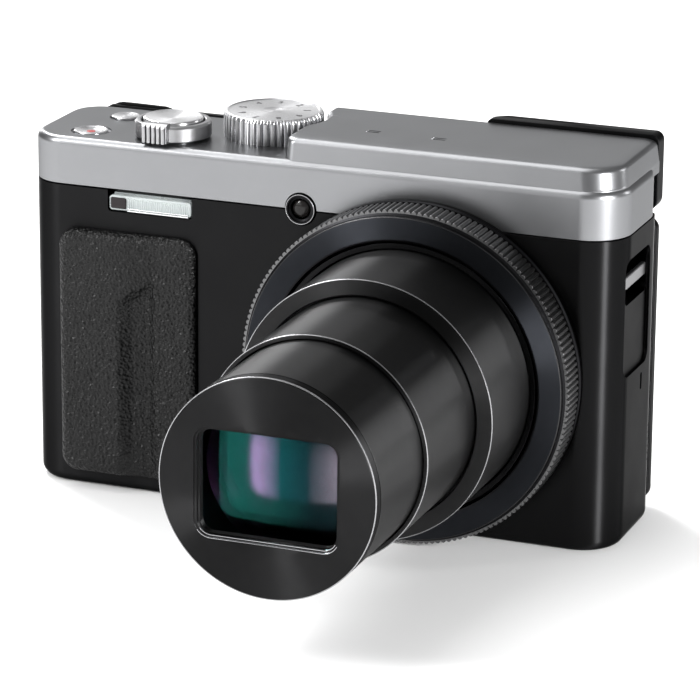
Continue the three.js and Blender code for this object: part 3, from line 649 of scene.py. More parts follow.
def make_lights():
    world = bpy.data.worlds.new("studio")
    world.use_nodes = True
    background = world.node_tree.nodes["Background"]
    background.inputs["Color"].default_value = (1, 1, 1, 1)
    background.inputs["Strength"].default_value = 0.35
    bpy.context.scene.world = world
    softbox("over", -90, 73, 1.2, (1.3, 0.65), 8.2)
    softbox("front", -38, 15, 1.4, (1.0, 0.5), 3.4)
    softbox("streak", -48, 36, 1.2, (0.24, 0.45), 10)
    softbox("right", 62, 10, 1.1, (0.2, 0.6), 26)
    softbox("rim", -138, 14, 1.3, (0.15, 0.9), 5)
    softbox("back", 206, 22, 1.5, (1.6, 0.9), 3.8)
    softbox("back_left", 230, 44, 1.2, (0.3, 0.3), 7)
    softbox("back_right", 128, 16, 1.3, (0.16, 0.5), 2.5)
    bpy.context.scene.view_settings.view_transform = "Standard"


make_camera()
make_floor()
make_lights()


# ---- covers
def body_outline(back=BACK):
    return rounded_box((-SIDE, SIDE), (FRONT, back), CORNER_RADII, 12)


def at_height(outline, z):
    return [(u, v, z) for u, v in outline]


BASE_ROUNDING = 2.0
DECK_FILLET = 1.4


def shell(name, top):
    """The black body shell: rounded base, upright walls, open at the top."""
    outline, ends = body_outline(), rounded_ends((0, top), BASE_ROUNDING, 0, steps=6)
    inner = inset(outline, WALL)
    base = [at_height(inset(outline, shift), z) for shift, z in ends[:7]]
    return loft(name, [*base, at_height(outline, top), at_height(inner, top), at_height(inner, WALL)])


SIDE_PANEL = SimpleNamespace(y=(-8.5, 5.0), z=(31.0, 52.4), depth=0.5, corner=2.0)
STRAP_HOLE = SimpleNamespace(z=(44.0, 52.0), depth=3.2, left_y=(-5.8, 5.2), corner=1.4, pad_z=(42.6, 53.4))
MIC_SLOT = SimpleNamespace(y=1.6, z=(26.4, 29.5), width=0.9)
VENT_DOTS = SimpleNamespace(y=7.0, z=(11.6, 18.0), count=6, radius=0.22)


def front_cover():
    flash, lamp, door = places("flash_window", "af_lamp_bezel", "battery_door")
    terminal, socket, screw = places("terminal_door", "tripod_socket", "base_screw")
    cover = shell("front_cover", SEAM_Z[0])
    panel_y, hole = SIDE_PANEL.y, STRAP_HOLE
    pads = [
        box((SIDE - hole.depth - WALL, SIDE - WALL / 2), grown(panel_y, WALL), hole.pad_z),
        box((-SIDE + WALL / 2, -SIDE + hole.depth + WALL), grown(hole.left_y, WALL), hole.pad_z),
    ]
    for pad in pads:
        inside = [at_height(inset(body_outline(), WALL / 2), z) for z in (41, 55)]
        boolean(pad, "INTERSECT", [loft("tool", inside)])
    fuse(cover, *pads)
    through, beyond = (FRONT - 2, FRONT + 4), SIDE + 2
    flash_x, flash_z = grown(flash.x, GAP), grown(flash.z, GAP)
    hole_y = (panel_y[0] + 0.5, panel_y[1] - 0.4)
    terminal_y, terminal_z = grown(terminal.y, 0.35), grown(terminal.z, 0.35)
    tools = [
        box((-70, 70), (SEAM_Y[0], 30), (-5, 80)),
        bar("tool", panel_y, SIDE_PANEL.z, SIDE_PANEL.corner, (SIDE - SIDE_PANEL.depth, beyond), "yz"),
        bar("tool", hole_y, hole.z, hole.corner, (SIDE - hole.depth, beyond), "yz"),
        bar("tool", hole.left_y, hole.z, hole.corner, (-beyond, -SIDE + hole.depth), "yz"),
        bar("tool", centred(MIC_SLOT.y, MIC_SLOT.width), MIC_SLOT.z, 0.42, (SIDE - 0.9, beyond), "yz"),
        pin((LENS_X, LENS_Z), 25.2, through, segments=96),
        bar("tool", flash_x, (flash_z[0], SEAM_Z[0] + 2), (0.7, 0.7, 0.1, 0.1), through),
        pin(lamp.xz, lamp.r + GAP, through),
        bar("tool", grown(door.x, 0.35), grown(door.y, 0.35), 0.8, (-2, 3), "xy"),
        bar("tool", terminal_y, terminal_z, 1.2, (-beyond, -SIDE + 2.6), "yz"),
        pin(socket.xy, 6.3, (-2, 4), "z"),
        pin(screw.xy, 1.9, (-2, 4), "z"),
    ]
    step = (VENT_DOTS.z[1] - VENT_DOTS.z[0]) / (VENT_DOTS.count - 1)
    for k in range(VENT_DOTS.count):
        spot = (VENT_DOTS.y, VENT_DOTS.z[0] + k * step)
        tools.append(pin(spot, VENT_DOTS.radius, (SIDE - 0.8, SIDE + 1), "x", 16))
    cut(cover, *tools)
    ease_edges(cover, 0.16)
    finished(cover, "root", BODY_BLACK, "body_black", "front_cover")


HUMP = SimpleNamespace(left=-6.3, hollow=9.75, left_corner=1.9, right_corner=6.6, soft=0.7)


def hump_ring(z, front, right, shrink):
    """The viewfinder hump's outline at a height, hollowed round the mode dial."""
    centre, hollow = place("mode_dial").xy, HUMP.hollow + shrink
    left, back = HUMP.left + shrink, TOP_COVER.y[1]
    swing = math.degrees(math.asin(math.sqrt(hollow ** 2 - (left - centre[0]) ** 2) / hollow))
    small, wide = HUMP.left_corner, HUMP.right_corner
    outline = arc((left + small, front + small), small, 180, 270, 8)
    outline += arc((right - wide, front + wide), wide, 270, 360, 18)
    outline += [(right, back), (left + 0.1, back)]
    bite = arc(centre, hollow, swing, -swing, 20)
    outline += soften([(left, back), *bite[:2]], HUMP.soft, 4, closed=False)[:-1]
    outline += bite[1:-1]
    outline += soften([*bite[-2:], (left, front + small)], HUMP.soft, 4, closed=False)[1:-1]
    return at_height(outline, z)


def top_cover():
    outline = body_outline(TOP_COVER.y[1])
    low, high = TOP_COVER.z
    ends = rounded_ends((low, DECK), 0, DECK_FILLET, steps=5)[4:]
    shoulder = [at_height(inset(outline, shift), z) for shift, z in ends]
    cover = loft("top_cover", [at_height(outline, low), *shoulder])
    lean = [  # height, front edge, right edge and shrink of the hump, from its foot to its top
        (DECK - 2.0, -13.2, 55.3, 0), (DECK, -13.2, 55.3, 0), (DECK + 0.2, -13.1, 55.2, 0),
        (high - 1.1, -12.5, 54.8, 0), (high - 0.7, -12.3, 54.6, 0.08), (high - 0.4, -11.95, 54.3, 0.25),
        (high - 0.2, -11.35, 53.9, 0.5), (high - 0.08, -10.4, 53.3, 0.75), (high, -8.4, 52.3, 1.0),
    ]
    fuse(cover, loft("hump", [hump_ring(*row) for row in lean]))
    lamp = place("af_lamp_bezel")
    tools = [
        loft("tool", [at_height(inset(outline, WALL), z) for z in (low - 3, DECK - WALL)]),
        pin(lamp.xz, lamp.r + GAP, (FRONT - 2, FRONT + 4)),
    ]
    for name, dish in (("movie_button", 3.75), ("power_button", 3.05)):
        button = place(name)
        hole = button.r + 0.2
        profile = off(0, DECK, (0, -3), (hole, -3), (hole, -0.45), (dish - 0.15, -0.3), (dish, 0.5), (0, 0.5))
        tools.append(lathe("tool", profile, button.xy, "z", 64))
    for centre_x, centre_y in ((6.9, -3.0), (19.4, -3.5)):
        for shift in (-0.45, 0.45):
            x, y = centred(centre_x, 2.6), centred(centre_y + shift, 0.42)
            tools.append(bar("tool", x, y, 0.2, (high - 0.7, high + 1), "xy"))
    tools.append(bar("tool", centred(-3.5, 1.7), centred(4.9, 0.36), 0.15, (high - 0.3, high + 1), "xy"))
    cut(cover, *tools)
    ease_edges(cover, 0.12, angle=50)
    finished(cover, "root", SILVER, "top_silver", "top_cover")


front_cover()
top_cover()


# ---- lens
FINE = 192  # segments of the large lens rings


def painted_highlight_ring(name, body, r, y, size=0.13, material=PAINTED_HIGHLIGHT_METAL):
    """A painted highlight: a thin ring of bright metal on the corner of a turned piece, in place of the shine on
    its rounded edge.
    """
    profile = off(r, y, (-size, -0.012), (-0.03, 0), (0.012, 0.03), (0.012, size), (-size, size))
    turned(name, body, material, "steel", profile, segments=FINE)


def control_ring():
    ring = place("control_ring")
    r, (front, back) = ring.r, ring.y
    core = [(27.6, back), *off(r, back, (-0.2, 0), (0, -0.12), (0, -0.32), (-0.6, -0.4)),
            *off(r, front, (-0.6, 0.9), (-0.95, 0.72), (-1.1, 0.3), (-1.2, 0.06)),
            *off(0, front, (25.6, 0.02), (24.95, 0.1), (24.75, 0.35), (24.75, 1.5), (27.6, 1.5))]
    turned("control_ring", "control_ring", LENS_BLACK, "ring_black", core, "control_ring", angle=28, segments=FINE)
    rib = [*off(r, front + 0.95, (-1.0, 0, 0), (-0.06, 0, 1), (0, 0.08, 1)),
           *off(r, back - 0.55, (0, 0, 1), (-1.0, 0, 0))]
    ribs = knurled("control_ring_ribs", rib, (LENS_X, LENS_Z), "y", 176, 0.5, 8, sharp=1.6)
    finished(ribs, "control_ring", RIB_METAL, "ring_black", angle=28)
    face = [*off(r, front, (-1.3, 0.3), (-1.2, 0.04), (-1.45, 0)),
            *off(0, front, (25.5, 0), (25.0, 0.12), (25.0, 0.3))]
    turned("control_ring_face", "control_ring", RING_FACE, "ring_black", face, segments=FINE)
    painted_highlight_ring("control_ring_edge", "control_ring", r - 1.1, front + 0.02, 0.1, PAINTED_RIM_HIGHLIGHT_METAL)


def tube(node, body, profile, material=TURNED_BLACK, ease=0.05, slot="lens_black"):
    turned(node, body, material, slot, profile, node, segments=FINE, ease=ease)


def barrels():
    outer, middle, inner = places("outer_barrel", "middle_barrel", "inner_barrel")
    r, (f, b) = outer.r, outer.y
    tube("outer_barrel", "outer_barrel", [
        *off(r, f, (-0.12, 0), (0, 0.12)), (r, b), (21.9, b),
        *off(0, f, (21.9, 1.5), (20.15, 1.5), (20.15, 0.25), (20.4, 0))])
    painted_highlight_ring("outer_barrel_edge", "outer_barrel", r, f)
    r, (f, b) = 19.8, middle.y
    tube("middle_barrel", "middle_barrel", [
        *off(r, f, (-0.12, 0), (0, 0.12)), (r, b - 2), (21.55, b - 2), (21.55, b), (19.25, b),
        (19.25, f + 1.5), (19.05, f + 1.5), (19.05, f)])
    painted_highlight_ring("middle_barrel_edge", "middle_barrel", r, f)
    r, (f, b) = inner.r, inner.y
    tube("inner_barrel", "inner_barrel", [(r, f), (r, b), (17.9, b), (17.9, f)])


def painted_highlight_lip(name, body, outline, y, width=0.2, depth=0.22):
    """A painted highlight: a thin bevel of bright metal along the lower lip of the opening, from one lower corner
    to the other.
    """
    shapes = ((outline, y - 0.015), (inset(outline, width * 0.5), y - 0.015), (inset(outline, width), y + depth),
              (outline, y + depth))
    rings = [[(shape[k][0], d, shape[k][1]) for shape, d in shapes] for k in range(4, 19)]
    finished(loft(name, rings), body, PAINTED_HIGHLIGHT_METAL, "steel")


OPENING = SimpleNamespace(width=25.1, height=19.0, corner=2.9, dish=0.5)


def front_ring():
    ring = place("lens_front_ring")
    r, (front, back) = ring.r, ring.y
    dish = OPENING.dish
    crown = [((r - 0.3) * k / 8, front + dish * (k / 8) ** 2) for k in range(9)]
    face = lathe("lens_front_ring", [*crown, (r, front + dish + 0.25), (r, back), (0, back)], segments=FINE)
    outer = rounded_box(centred(LENS_X, OPENING.width), centred(LENS_Z, OPENING.height), OPENING.corner, 10)
    step, lip = inset(outer, 0.42), inset(outer, 0.75)
    depths = ((outer, (front - 1, front + 0.6)), (step, (front, front + 1.2)), (lip, (front, back + 1)))
    cut(face, *(prism("tool", shape, depth) for shape, depth in depths))
    ease_edges(face, 0.08, angle=40)
    finished(face, "inner_barrel", DISC_BLACK, "lens_black", "lens_front_ring")
    painted_highlight_ring("lens_front_edge", "inner_barrel", r, front + dish + 0.1, 0.15)
    painted_highlight_lip("opening_edge", "inner_barrel", outer, front + 0.3)
    painted_highlight_lip("opening_step", "inner_barrel", step, front + 0.6)


def lens_base():
    ring = place("lens_base_ring")
    r, (f, b) = ring.r, ring.y
    profile = [(24.9, f), *off(r, f, (-0.5, 0), (-0.2, 0.5), (0.1, 0.9)), (r + 0.1, b), (24.9, b)]
    tube("lens_base_ring", "root", profile, LENS_BLACK, 0.12)
    f, b = LENS_BODY.y
    profile = [(24.4, f), (24.4, b), (6, b), (6, b - 1.2), (23.5, b - 1.2), (23.5, f)]
    tube("lens_housing", "root", profile, BODY_BLACK, 0.1, "body_black")


control_ring()
barrels()
front_ring()
lens_base()


# ---- covers behind
JOINTS = {joint["name"]: joint for joint in frame["record"]["behaviour"]["joints"]}
REAR_BUTTONS = ("photo_mode_button", "viewfinder_button", "play_button", "quick_menu_button", "display_button")


def rear_cover():
    finder, link, ring, key = places("evf_housing", "screen_hinge_link", "rear_dial", "set_button")
    eye = [v / MM for v in JOINTS["screen_lift"]["pos_m"]]
    cover = shell("rear_cover", SEAM_Z[0])
    cut(cover, box((-70, 70), (-30, SEAM_Y[1]), (-5, 80)),
        box((finder.x[0] - GAP, 70), (-30, 30), (finder.z[0] - GAP, 90)))
    wall_x, wall_z = (-SIDE + 4, finder.x[0] - GAP), (SEAM_Z[0] - 6, REAR_COVER.z[1])
    parts = [bar("wall", wall_x, wall_z, 2.0, (TOP_COVER.y[1] + GAP, BACK))]
    for x in ((link.x[0] - 0.8, link.x[0] + 1.2), (link.x[1] - 1.2, link.x[1] + 0.8)):
        lug = [(BACK - 0.6, eye[2] - 1.6), *arc((eye[1], eye[2]), 1.15, -90, 90, 10), (BACK - 0.6, eye[2] + 1.6)]
        parts.append(prism("lug", lug, x, "yz", (0.25, 0.25)))
    fuse(cover, *parts)
    holes = [pin((eye[1], eye[2]), 0.95, (link.x[0] - 5, link.x[1] + 5), "x", 24),
             pin(ring.xz, key.r + 0.35, (BACK - 3, BACK + 1))]
    for button in REAR_BUTTONS:
        spot = place(button)
        holes.append(pin(spot.xz, spot.r + 0.35, (BACK - 3, BACK + 1)))
    cut(cover, *holes)
    ease_edges(cover, 0.15)
    finished(cover, "root", BODY_BLACK, "body_black", "rear_cover")


def smoothstep(start, end, value):
    t = min(1, max(0, (value - start) / (end - start)))
    return t * t * (3 - 2 * t)


def edge_distance(u, v, x, z, radius):
    """How far a point is inside a rounded box."""
    qx = abs(u - sum(x) / 2) - (x[1] - x[0]) / 2 + radius
    qz = abs(v - sum(z) / 2) - (z[1] - z[0]) / 2 + radius
    return radius - math.hypot(max(qx, 0), max(qz, 0)) - min(max(qx, qz), 0)


def pad(name, x, z, radius, seat, outwards, height, step):
    """A pad on a wall: height(x, z) above its flat back, inside a rounded box."""
    columns, rows = round((x[1] - x[0]) / step), round((z[1] - z[0]) / step)
    maker = bmesh.new()
    grid = []
    for r in range(rows + 1):
        v = z[0] + (z[1] - z[0]) * r / rows
        away = min(v - z[0], z[1] - v, radius)
        trim = radius - math.sqrt(radius ** 2 - (radius - away) ** 2)
        line = []
        for c in range(columns + 1):
            u = x[0] + trim + (x[1] - x[0] - 2 * trim) * c / columns
            line.append(maker.verts.new((u, seat + outwards * height(u, v), v)))
        grid.append(line)
    for low, high in zip(grid, grid[1:]):
        for c in range(columns):
            maker.faces.new((low[c], low[c + 1], high[c + 1], high[c]))
    rim = grid[0][:-1] + [line[-1] for line in grid[:-1]] + grid[-1][:0:-1] + [line[0] for line in grid[:0:-1]]
    foot = [maker.verts.new((p.co.x, seat, p.co.z)) for p in rim]
    for k in range(len(rim)):
        j = (k + 1) % len(rim)
        maker.faces.new((rim[k], rim[j], foot[j], foot[k]))
    maker.faces.new(foot)
    return new_object(name, maker)


def rolled(distance, width, low):
    """A rounded edge: from a low lip up to full height."""
    t = min(1, max(0, distance / width))
    return low + (1 - low) * math.sqrt(1 - (1 - t) ** 2)


def pebble(u, v, size):
    """Leather grain from 0 in the creases to 1 on the bumps."""
    wander = noise.noise_vector(Vector((u, v, 3.1)) / (size * 2.5)) * 0.5
    near = noise.voronoi(Vector((u / size, v / size, 0)) + wander)[0]
    return min(1.0, (near[1] - near[0]) * 1.9)


def grip():
    cover = place("grip_cover")
    seat, rise = cover.y[1], cover.y[1] - cover.y[0]
    corner = 3.2

    def height(u, v):
        plane = rise - 0.1 - smoothstep(-37.5, -29.0, u) * 1.05
        brow = 37.6 + (u + 35.8) * 0.6
        across = smoothstep(-37.4, -34.4, u) * (1 - smoothstep(-32.0, -29.6, u))
        scoop = across * (1 - smoothstep(brow - 1.8, brow + 0.5, v))
        shape = plane - scoop * 1.15
        edge = rolled(edge_distance(u, v, cover.x, cover.z, corner), 1.7, 0.3)
        grain = 0.15 * pebble(u, v, 0.78) * smoothstep(0.1, 0.8, edge)
        return shape * edge + grain

    piece = pad("grip_cover", cover.x, cover.z, corner, seat, -1, height, 0.21)
    finished(piece, "root", LEATHERETTE, "grip_leatherette", "grip_cover", angle=60)


def thumb_rest():
    rest = place("thumb_rest")
    seat, rise = rest.y[0], rest.y[1] - rest.y[0]

    def height(u, v):
        across = smoothstep(rest.x[1], rest.x[0] + 3.4, u)
        shape = 0.5 + (rise - 0.6) * across
        edge = rolled(edge_distance(u, v, rest.x, rest.z, 2.6), 1.2, 0.25)
        return shape * edge + 0.05 * pebble(u, v, 0.8) * edge

    piece = pad("thumb_rest", rest.x, rest.z, 2.6, seat, 1, height, 0.3)
    finished(piece, "root", RUBBER, "rubber", "thumb_rest", angle=60)


# ---- viewfinder
def finder():
    housing, cup, lens, knob = places("evf_housing", "eyecup", "evf_eyepiece_lens", "diopter_dial")
    window = bar("tool", grown(lens.x, 0.3), grown(lens.z, 0.3), 1.6, (0, 20))
    body = bar("evf_housing", housing.x, housing.z, (1.2, 2.2, 1.5, 1.2), housing.y, "xz", (0.15, 0.35), 4)
    x, y = housing.x[0], housing.y
    slant = [(x - 1, y[0] + 0.6), (x + 3.6, y[1] + 0.4), (x - 1, 20)]
    cut(body, window, prism("tool", slant, (50, 80), "xy"))
    ease_edges(body, 0.22, 3)
    finished(body, "root", BODY_BLACK, "body_black", "evf_housing")
    rim = bar("eyecup", cup.x, cup.z, 2.4, cup.y, "xz", (0.05, 0.28), 4)
    cut(rim, bar("tool", grown(lens.x, -0.6), grown(lens.z, -0.6), 1.2, (10, 20)))
    ease_edges(rim, 0.12)
    finished(rim, "root", RUBBER, "rubber", "eyecup")
    glass = bar("evf_eyepiece_lens", lens.x, lens.z, 1.3, lens.y, "xz", (0.3, 0.5), 4)
    finished(glass, "root", FINDER_GLASS, "lens_glass", "evf_eyepiece_lens")
    r, (low, high) = knob.r, knob.y
    profile = [(0, low, 0), *off(r, low, (-0.1, 0, 1), (0, 0.1, 1)),
               *off(r, high, (0, -0.2, 1), (-0.25, 0, 0.3), (-0.9, 0, 0), (-1.1, -0.12, 0)), (0, high - 0.12, 0)]
    dial = knurled("diopter_dial", profile, knob.xz, "y", 24, 0.28)
    finished(dial, "diopter_dial", BODY_BLACK, "body_black", "diopter_dial")


# ---- top controls
TAB = SimpleNamespace(half=2.4, inner=6.0, outer=8.2, turn=-0.05, teeth=5, pitch=0.94)


def lever_tab(centre):
    """The outline of the zoom lever's tab, toothed along its front edge."""
    half, inner, outer = TAB.half, TAB.inner, TAB.outer
    shape = [(-half, -inner), (-half, -outer + 0.5)]
    for k in range(TAB.teeth):
        x = -half + 0.1 + k * TAB.pitch
        shape += [(x, -outer + 0.12), (x + 0.16, -outer), (x + 0.5, -outer), (x + 0.66, -outer + 0.12),
                  (x + 0.72, -outer + 0.6)]
    shape += [(half, -outer + 0.5), (half, -inner)]
    c, s = math.cos(TAB.turn), math.sin(TAB.turn)
    return [(centre[0] + x * c - y * s, centre[1] + x * s + y * c) for x, y in shape]


def shutter_and_lever():
    button = place("shutter_button")
    centre, r, (low, top) = button.xy, button.r, button.z
    cap = [(0, low), *off(r, low, (-0.25, 0), (0, 0.25)),
           *off(r, top, (0, -0.42), (-0.12, -0.12), (-0.42, 0), (-0.75, -0.1), (-1.6, -0.28)),
           (2.4, top - 0.42), (0, top - 0.46)]
    turned("shutter_button", "shutter_button", spun_metal("shutter_metal", (0.52, 0.52, 0.53), button),
           "control_metal", cap, "shutter_button", centre=centre, axis="z", segments=96, ease=0.08)
    r, low, high = 6.9, LEVER.z[0], LEVER.z[1] - 0.7
    ring = lathe("zoom_lever", [
        (0, low), *off(r, low, (-0.3, 0), (0, 0.3)), *off(r, high, (0, -0.45), (-0.3, -0.08), (-0.55, 0)),
        (5.95, high), (5.78, high - 0.15), (5.78, low + 0.8), (0, low + 0.8)], centre, "z", 96)
    tab = prism("tab", lever_tab(centre), (low + 0.2, LEVER.z[1]), "xy")
    edge_y, top = centre[1] - TAB.outer, LEVER.z[1]
    slope = [(edge_y - 1, top - 1.4), (edge_y + 1.3, top + 0.3), (edge_y - 1, top + 0.3)]
    cut(tab, prism("tool", slope, (centre[0] - 5, centre[0] + 5), "yz"))
    fuse(ring, tab)
    ease_edges(ring, 0.07, 1, 50)
    finished(ring, "zoom_lever", SATIN_METAL, "control_metal", "zoom_lever")


DIAL_SIGNS = ("1", "2", "3", "4", "5", "6", "7", "8", "9")


def sign(text, size, height, thickness=0.03):
    """A printed figure, as a thin raised mesh in millimetres."""
    curve = bpy.data.curves.new("sign", "FONT")
    curve.body = text
    curve.size = size
    curve.extrude = thickness / 2
    curve.align_x, curve.align_y = "CENTER", "CENTER"
    holder = linked("sign", curve)
    graph = bpy.context.evaluated_depsgraph_get()
    mesh = bpy.data.meshes.new_from_object(holder.evaluated_get(graph))
    bpy.data.objects.remove(holder)
    maker = bmesh.new()
    maker.from_mesh(mesh)
    bmesh.ops.translate(maker, vec=(0, 0, height), verts=maker.verts)
    return maker


DIAL_METAL = (0.42, 0.42, 0.43)


def mode_dial():
    dial = place("mode_dial")
    centre, r, (low, high) = dial.xy, dial.r, dial.z
    profile = [(0, low, 0), *off(r, low, (-0.5, 0, 0), (-0.12, 0.05, 0.8), (0, 0.2, 1)),
               *off(r, high, (0, -0.75, 1), (-0.06, -0.5, 0.9), (-0.35, -0.1, 0.3), (-0.6, 0, 0),
                    (-0.85, -0.02, 0), (-1.0, -0.14, 0), (-1.2, -0.16, 0)),
               (2.2, high - 0.16, 0), (2.1, high - 0.2, 0), (0, high - 0.2, 0)]
    body = knurled("mode_dial", profile, centre, "z", 44, 0.5, 8, sharp=2.0)
    finished(body, "mode_dial", spun_metal("dial_metal", DIAL_METAL, dial), "dial_silver", "mode_dial", angle=28)
    marks = bmesh.new()
    for k, text in enumerate(DIAL_SIGNS):
        a = 2 * math.pi * k / len(DIAL_SIGNS) + 0.35
        figure = sign(text, 2.0, high - 0.145)
        upright = Matrix.Rotation(a - math.pi / 2, 3, "Z")
        bmesh.ops.rotate(figure, cent=(0, 0, 0), matrix=upright, verts=figure.verts)
        shift = (centre[0] + 5.9 * math.cos(a), centre[1] + 5.9 * math.sin(a), 0)
        bmesh.ops.translate(figure, vec=shift, verts=figure.verts)
        mesh = bpy.data.meshes.new("figure")
        figure.to_mesh(mesh)
        figure.free()
        marks.from_mesh(mesh)
    finished(new_object("mode_dial_marks", marks), "mode_dial", PRINT_GREY, "body_black")


def top_buttons():
    for name, dish in (("movie_button", 0.35), ("power_button", 0.15)):
        button = place(name)
        r, (low, high) = button.r, button.z
        profile = [(0, low), (r, low), *off(r, high, (0, -0.2), (-0.12, -0.04), (-0.35, 0)),
                   (r - 0.7, high - dish * 0.4), (r * 0.5, high - dish), (0, high - dish)]
        turned(name, name, spun_metal(name + "_metal", DIAL_METAL, button), "control_metal", profile, name,
               centre=button.xy, axis="z", segments=64, ease=0.06)
    movie = place("movie_button")
    dot = off(0, movie.z[1] - 0.35, (0, -0.05), (0.8, -0.05), (0.8, 0.03), (0.7, 0.05), (0, 0.07))
    turned("movie_dot", "movie_button", RED_PAINT, "control_metal", dot, centre=movie.xy, axis="z", segments=32)


# ---- flash and lamp
def flash():
    window, mirror = places("flash_window", "flash_reflector")
    front, back = window.y
    z = grown(window.z, -0.05)
    split = window.x[0] + 3.5
    slab = bar("flash_window", window.x, z, 0.6, (front + 0.25, back), "xz", (0.1, 0.0))
    pitch, x = 0.42, split
    ridge = [(split, front + 0.5)]
    while x + pitch < window.x[1] - 0.4:
        ridge += [(x + 0.04, front + 0.2), (x + pitch / 2, front + 0.02), (x + pitch - 0.04, front + 0.2)]
        x += pitch
    ridge.append((x, front + 0.5))
    fuse(slab, prism("ribs", ridge, grown(z, -0.35), "xy"))
    finished(slab, "root", CLEAR_PLASTIC, "clear_plastic", "flash_window", angle=25)
    shade = bar("flash_sensor_window", (window.x[0] + 0.35, split - 0.2), grown(z, -0.35), 0.3,
                (front + 0.05, front + 0.3), "xz", (0.08, 0))
    finished(shade, "root", SMOKED, "screen_glass")
    lips = []
    for start, thick in ((window.z[0] + 0.02, 0.22), (window.z[0] + 0.42, 0.16)):
        lips.append(bar("lip", (split + 0.1, window.x[1] - 0.35), (start, start + thick), 0.07,
                        (front - 0.03, front + 0.3), "xz", (0.05, 0)))
    finished(join("flash_lips", *lips), "root", CHROME, "steel")
    inner, (near, far) = grown(mirror.z, -0.35), mirror.y
    depth, steps = far - near - 0.6, 16
    curve = [(near + depth * (1 - (2 * k / steps - 1) ** 2), inner[0] + (inner[1] - inner[0]) * k / steps)
             for k in range(steps + 1)]
    outline = [(near, mirror.z[0]), *curve, (near, mirror.z[1]), (far, mirror.z[1]), (far, mirror.z[0])]
    trough = prism("flash_reflector", outline[::-1], grown(mirror.x, -0.5), "yz")
    fuse(trough, *(box((x, x + 0.5), mirror.y, mirror.z) for x in (mirror.x[0], mirror.x[1] - 0.5)))
    finished(trough, "root", MIRROR_WHITE, "steel", "flash_reflector")
    dress("flash_tube", FROSTED)


def lamp():
    bezel, lens = places("af_lamp_bezel", "af_lamp_lens")
    r, (front, back) = bezel.r, bezel.y
    ring = [(r, back), *off(r, front, (0, 0.15), (-0.1, 0), (-0.34, 0), (-0.42, 0.3)), (1.9, front + 0.45),
            (1.9, back)]
    turned("af_lamp_bezel", "root", LENS_BLACK, "lens_black", ring, "af_lamp_bezel", centre=bezel.xz, segments=64)
    rim = off(r, front, (0.02, 0.12), (0.02, -0.05), (-0.1, -0.05), (-0.1, 0.12))
    turned("af_lamp_rim", "root", SATIN_METAL, "control_metal", rim, centre=bezel.xz, segments=64, ease=0.03)
    low, high = lens.y
    dome = [(0, high), (1.6, high), *off(0, low, (1.6, 0.9), (1.35, 0.62), (0.9, 0.46), (0.4, 0.4), (0, 0.38))]
    turned("af_lamp_lens", "root", LAMP_GLASS, "lens_glass", dome, "af_lamp_lens", centre=bezel.xz, segments=48)


# ---- sides and base
def sides():
    for name in ("strap_bar_right", "strap_bar_left"):
        bar_place = place(name)
        x, z = centred(bar_place.mid[0], 0.9), centred(bar_place.mid[2], 2.3)
        finished(bar(name, x, z, 0.3, bar_place.y, "xz", (0.2, 0.2)), "root", STEEL, "steel", name)
    door = place("terminal_door")
    lid = bar("terminal_door", door.y, door.z, 1.0, door.x, "yz", (0.4, 0.1), 4)
    cut(lid, bar("tool", centred(door.mid[1], 4.0), (door.z[0] - 1, door.z[0] + 0.8), 0.4,
                 (door.x[0] - 1, door.x[0] + 0.35), "yz"))
    ease_edges(lid, 0.1)
    finished(lid, "terminal_door", BODY_BLACK, "body_black", "terminal_door")


def door_and_latch():
    door, latch = places("battery_door", "door_latch")
    lid = bar("battery_door", door.x, door.y, 0.6, door.z, "xy", (0.3, 0.1), 4)
    wells = (grown(latch.x, 0.3), (latch.x[1] - 1, latch.x[1] + 2.5))
    cut(lid, *(box(x, grown(latch.y, 0.3), (-2, 0.8)) for x in wells))
    ease_edges(lid, 0.08)
    finished(lid, "battery_door", BODY_BLACK, "body_black", "battery_door")
    ribs = []
    count = 6
    for k in range(count):
        x = latch.x[0] + 0.6 + k * (latch.x[1] - latch.x[0] - 1.2) / (count - 1)
        ribs.append(box(centred(x, 0.4), grown(latch.y, -0.5), (latch.z[0] - 0.5, latch.z[0] + 0.2)))
    slider = bar("door_latch", latch.x, latch.y, 0.4, latch.z, "xy", (0.1, 0))
    cut(slider, *ribs)
    finished(slider, "door_latch", RUBBER, "rubber", "door_latch")


def socket_and_screw():
    socket, screw = places("tripod_socket", "base_screw")
    r, (low, high) = socket.r, socket.z
    profile = [(r - 0.15, low), (r, low + 0.15), (r, high), (0, high), (0, high - 1)]
    y = high - 1.0
    while y > low + 0.7:
        profile += [(3.17, y), (2.75, y - 0.32), (3.17, y - 0.64)]
        y -= 0.635
    profile += [(3.3, low + 0.3), (3.7, low)]
    turned("tripod_socket", "root", STEEL, "steel", profile, "tripod_socket", centre=socket.xy, axis="z",
           segments=64)
    centre, r, (low, high) = screw.xy, screw.r, screw.z
    head = lathe("base_screw", [(0, low + 0.02), *off(r, low, (-0.35, 0), (0, 0.3), (0, 0.9)), (0.7, low + 0.9),
                                (0.7, high), (0, high)], centre, "z", 48)
    cut(head, *(box(centred(centre[0], wide), centred(centre[1], long), (low - 1, low + 0.6))
                for wide, long in ((0.36, 1.9), (1.9, 0.36))))
    ease_edges(head, 0.05, 1)
    finished(head, "root", STEEL, "steel", "base_screw")


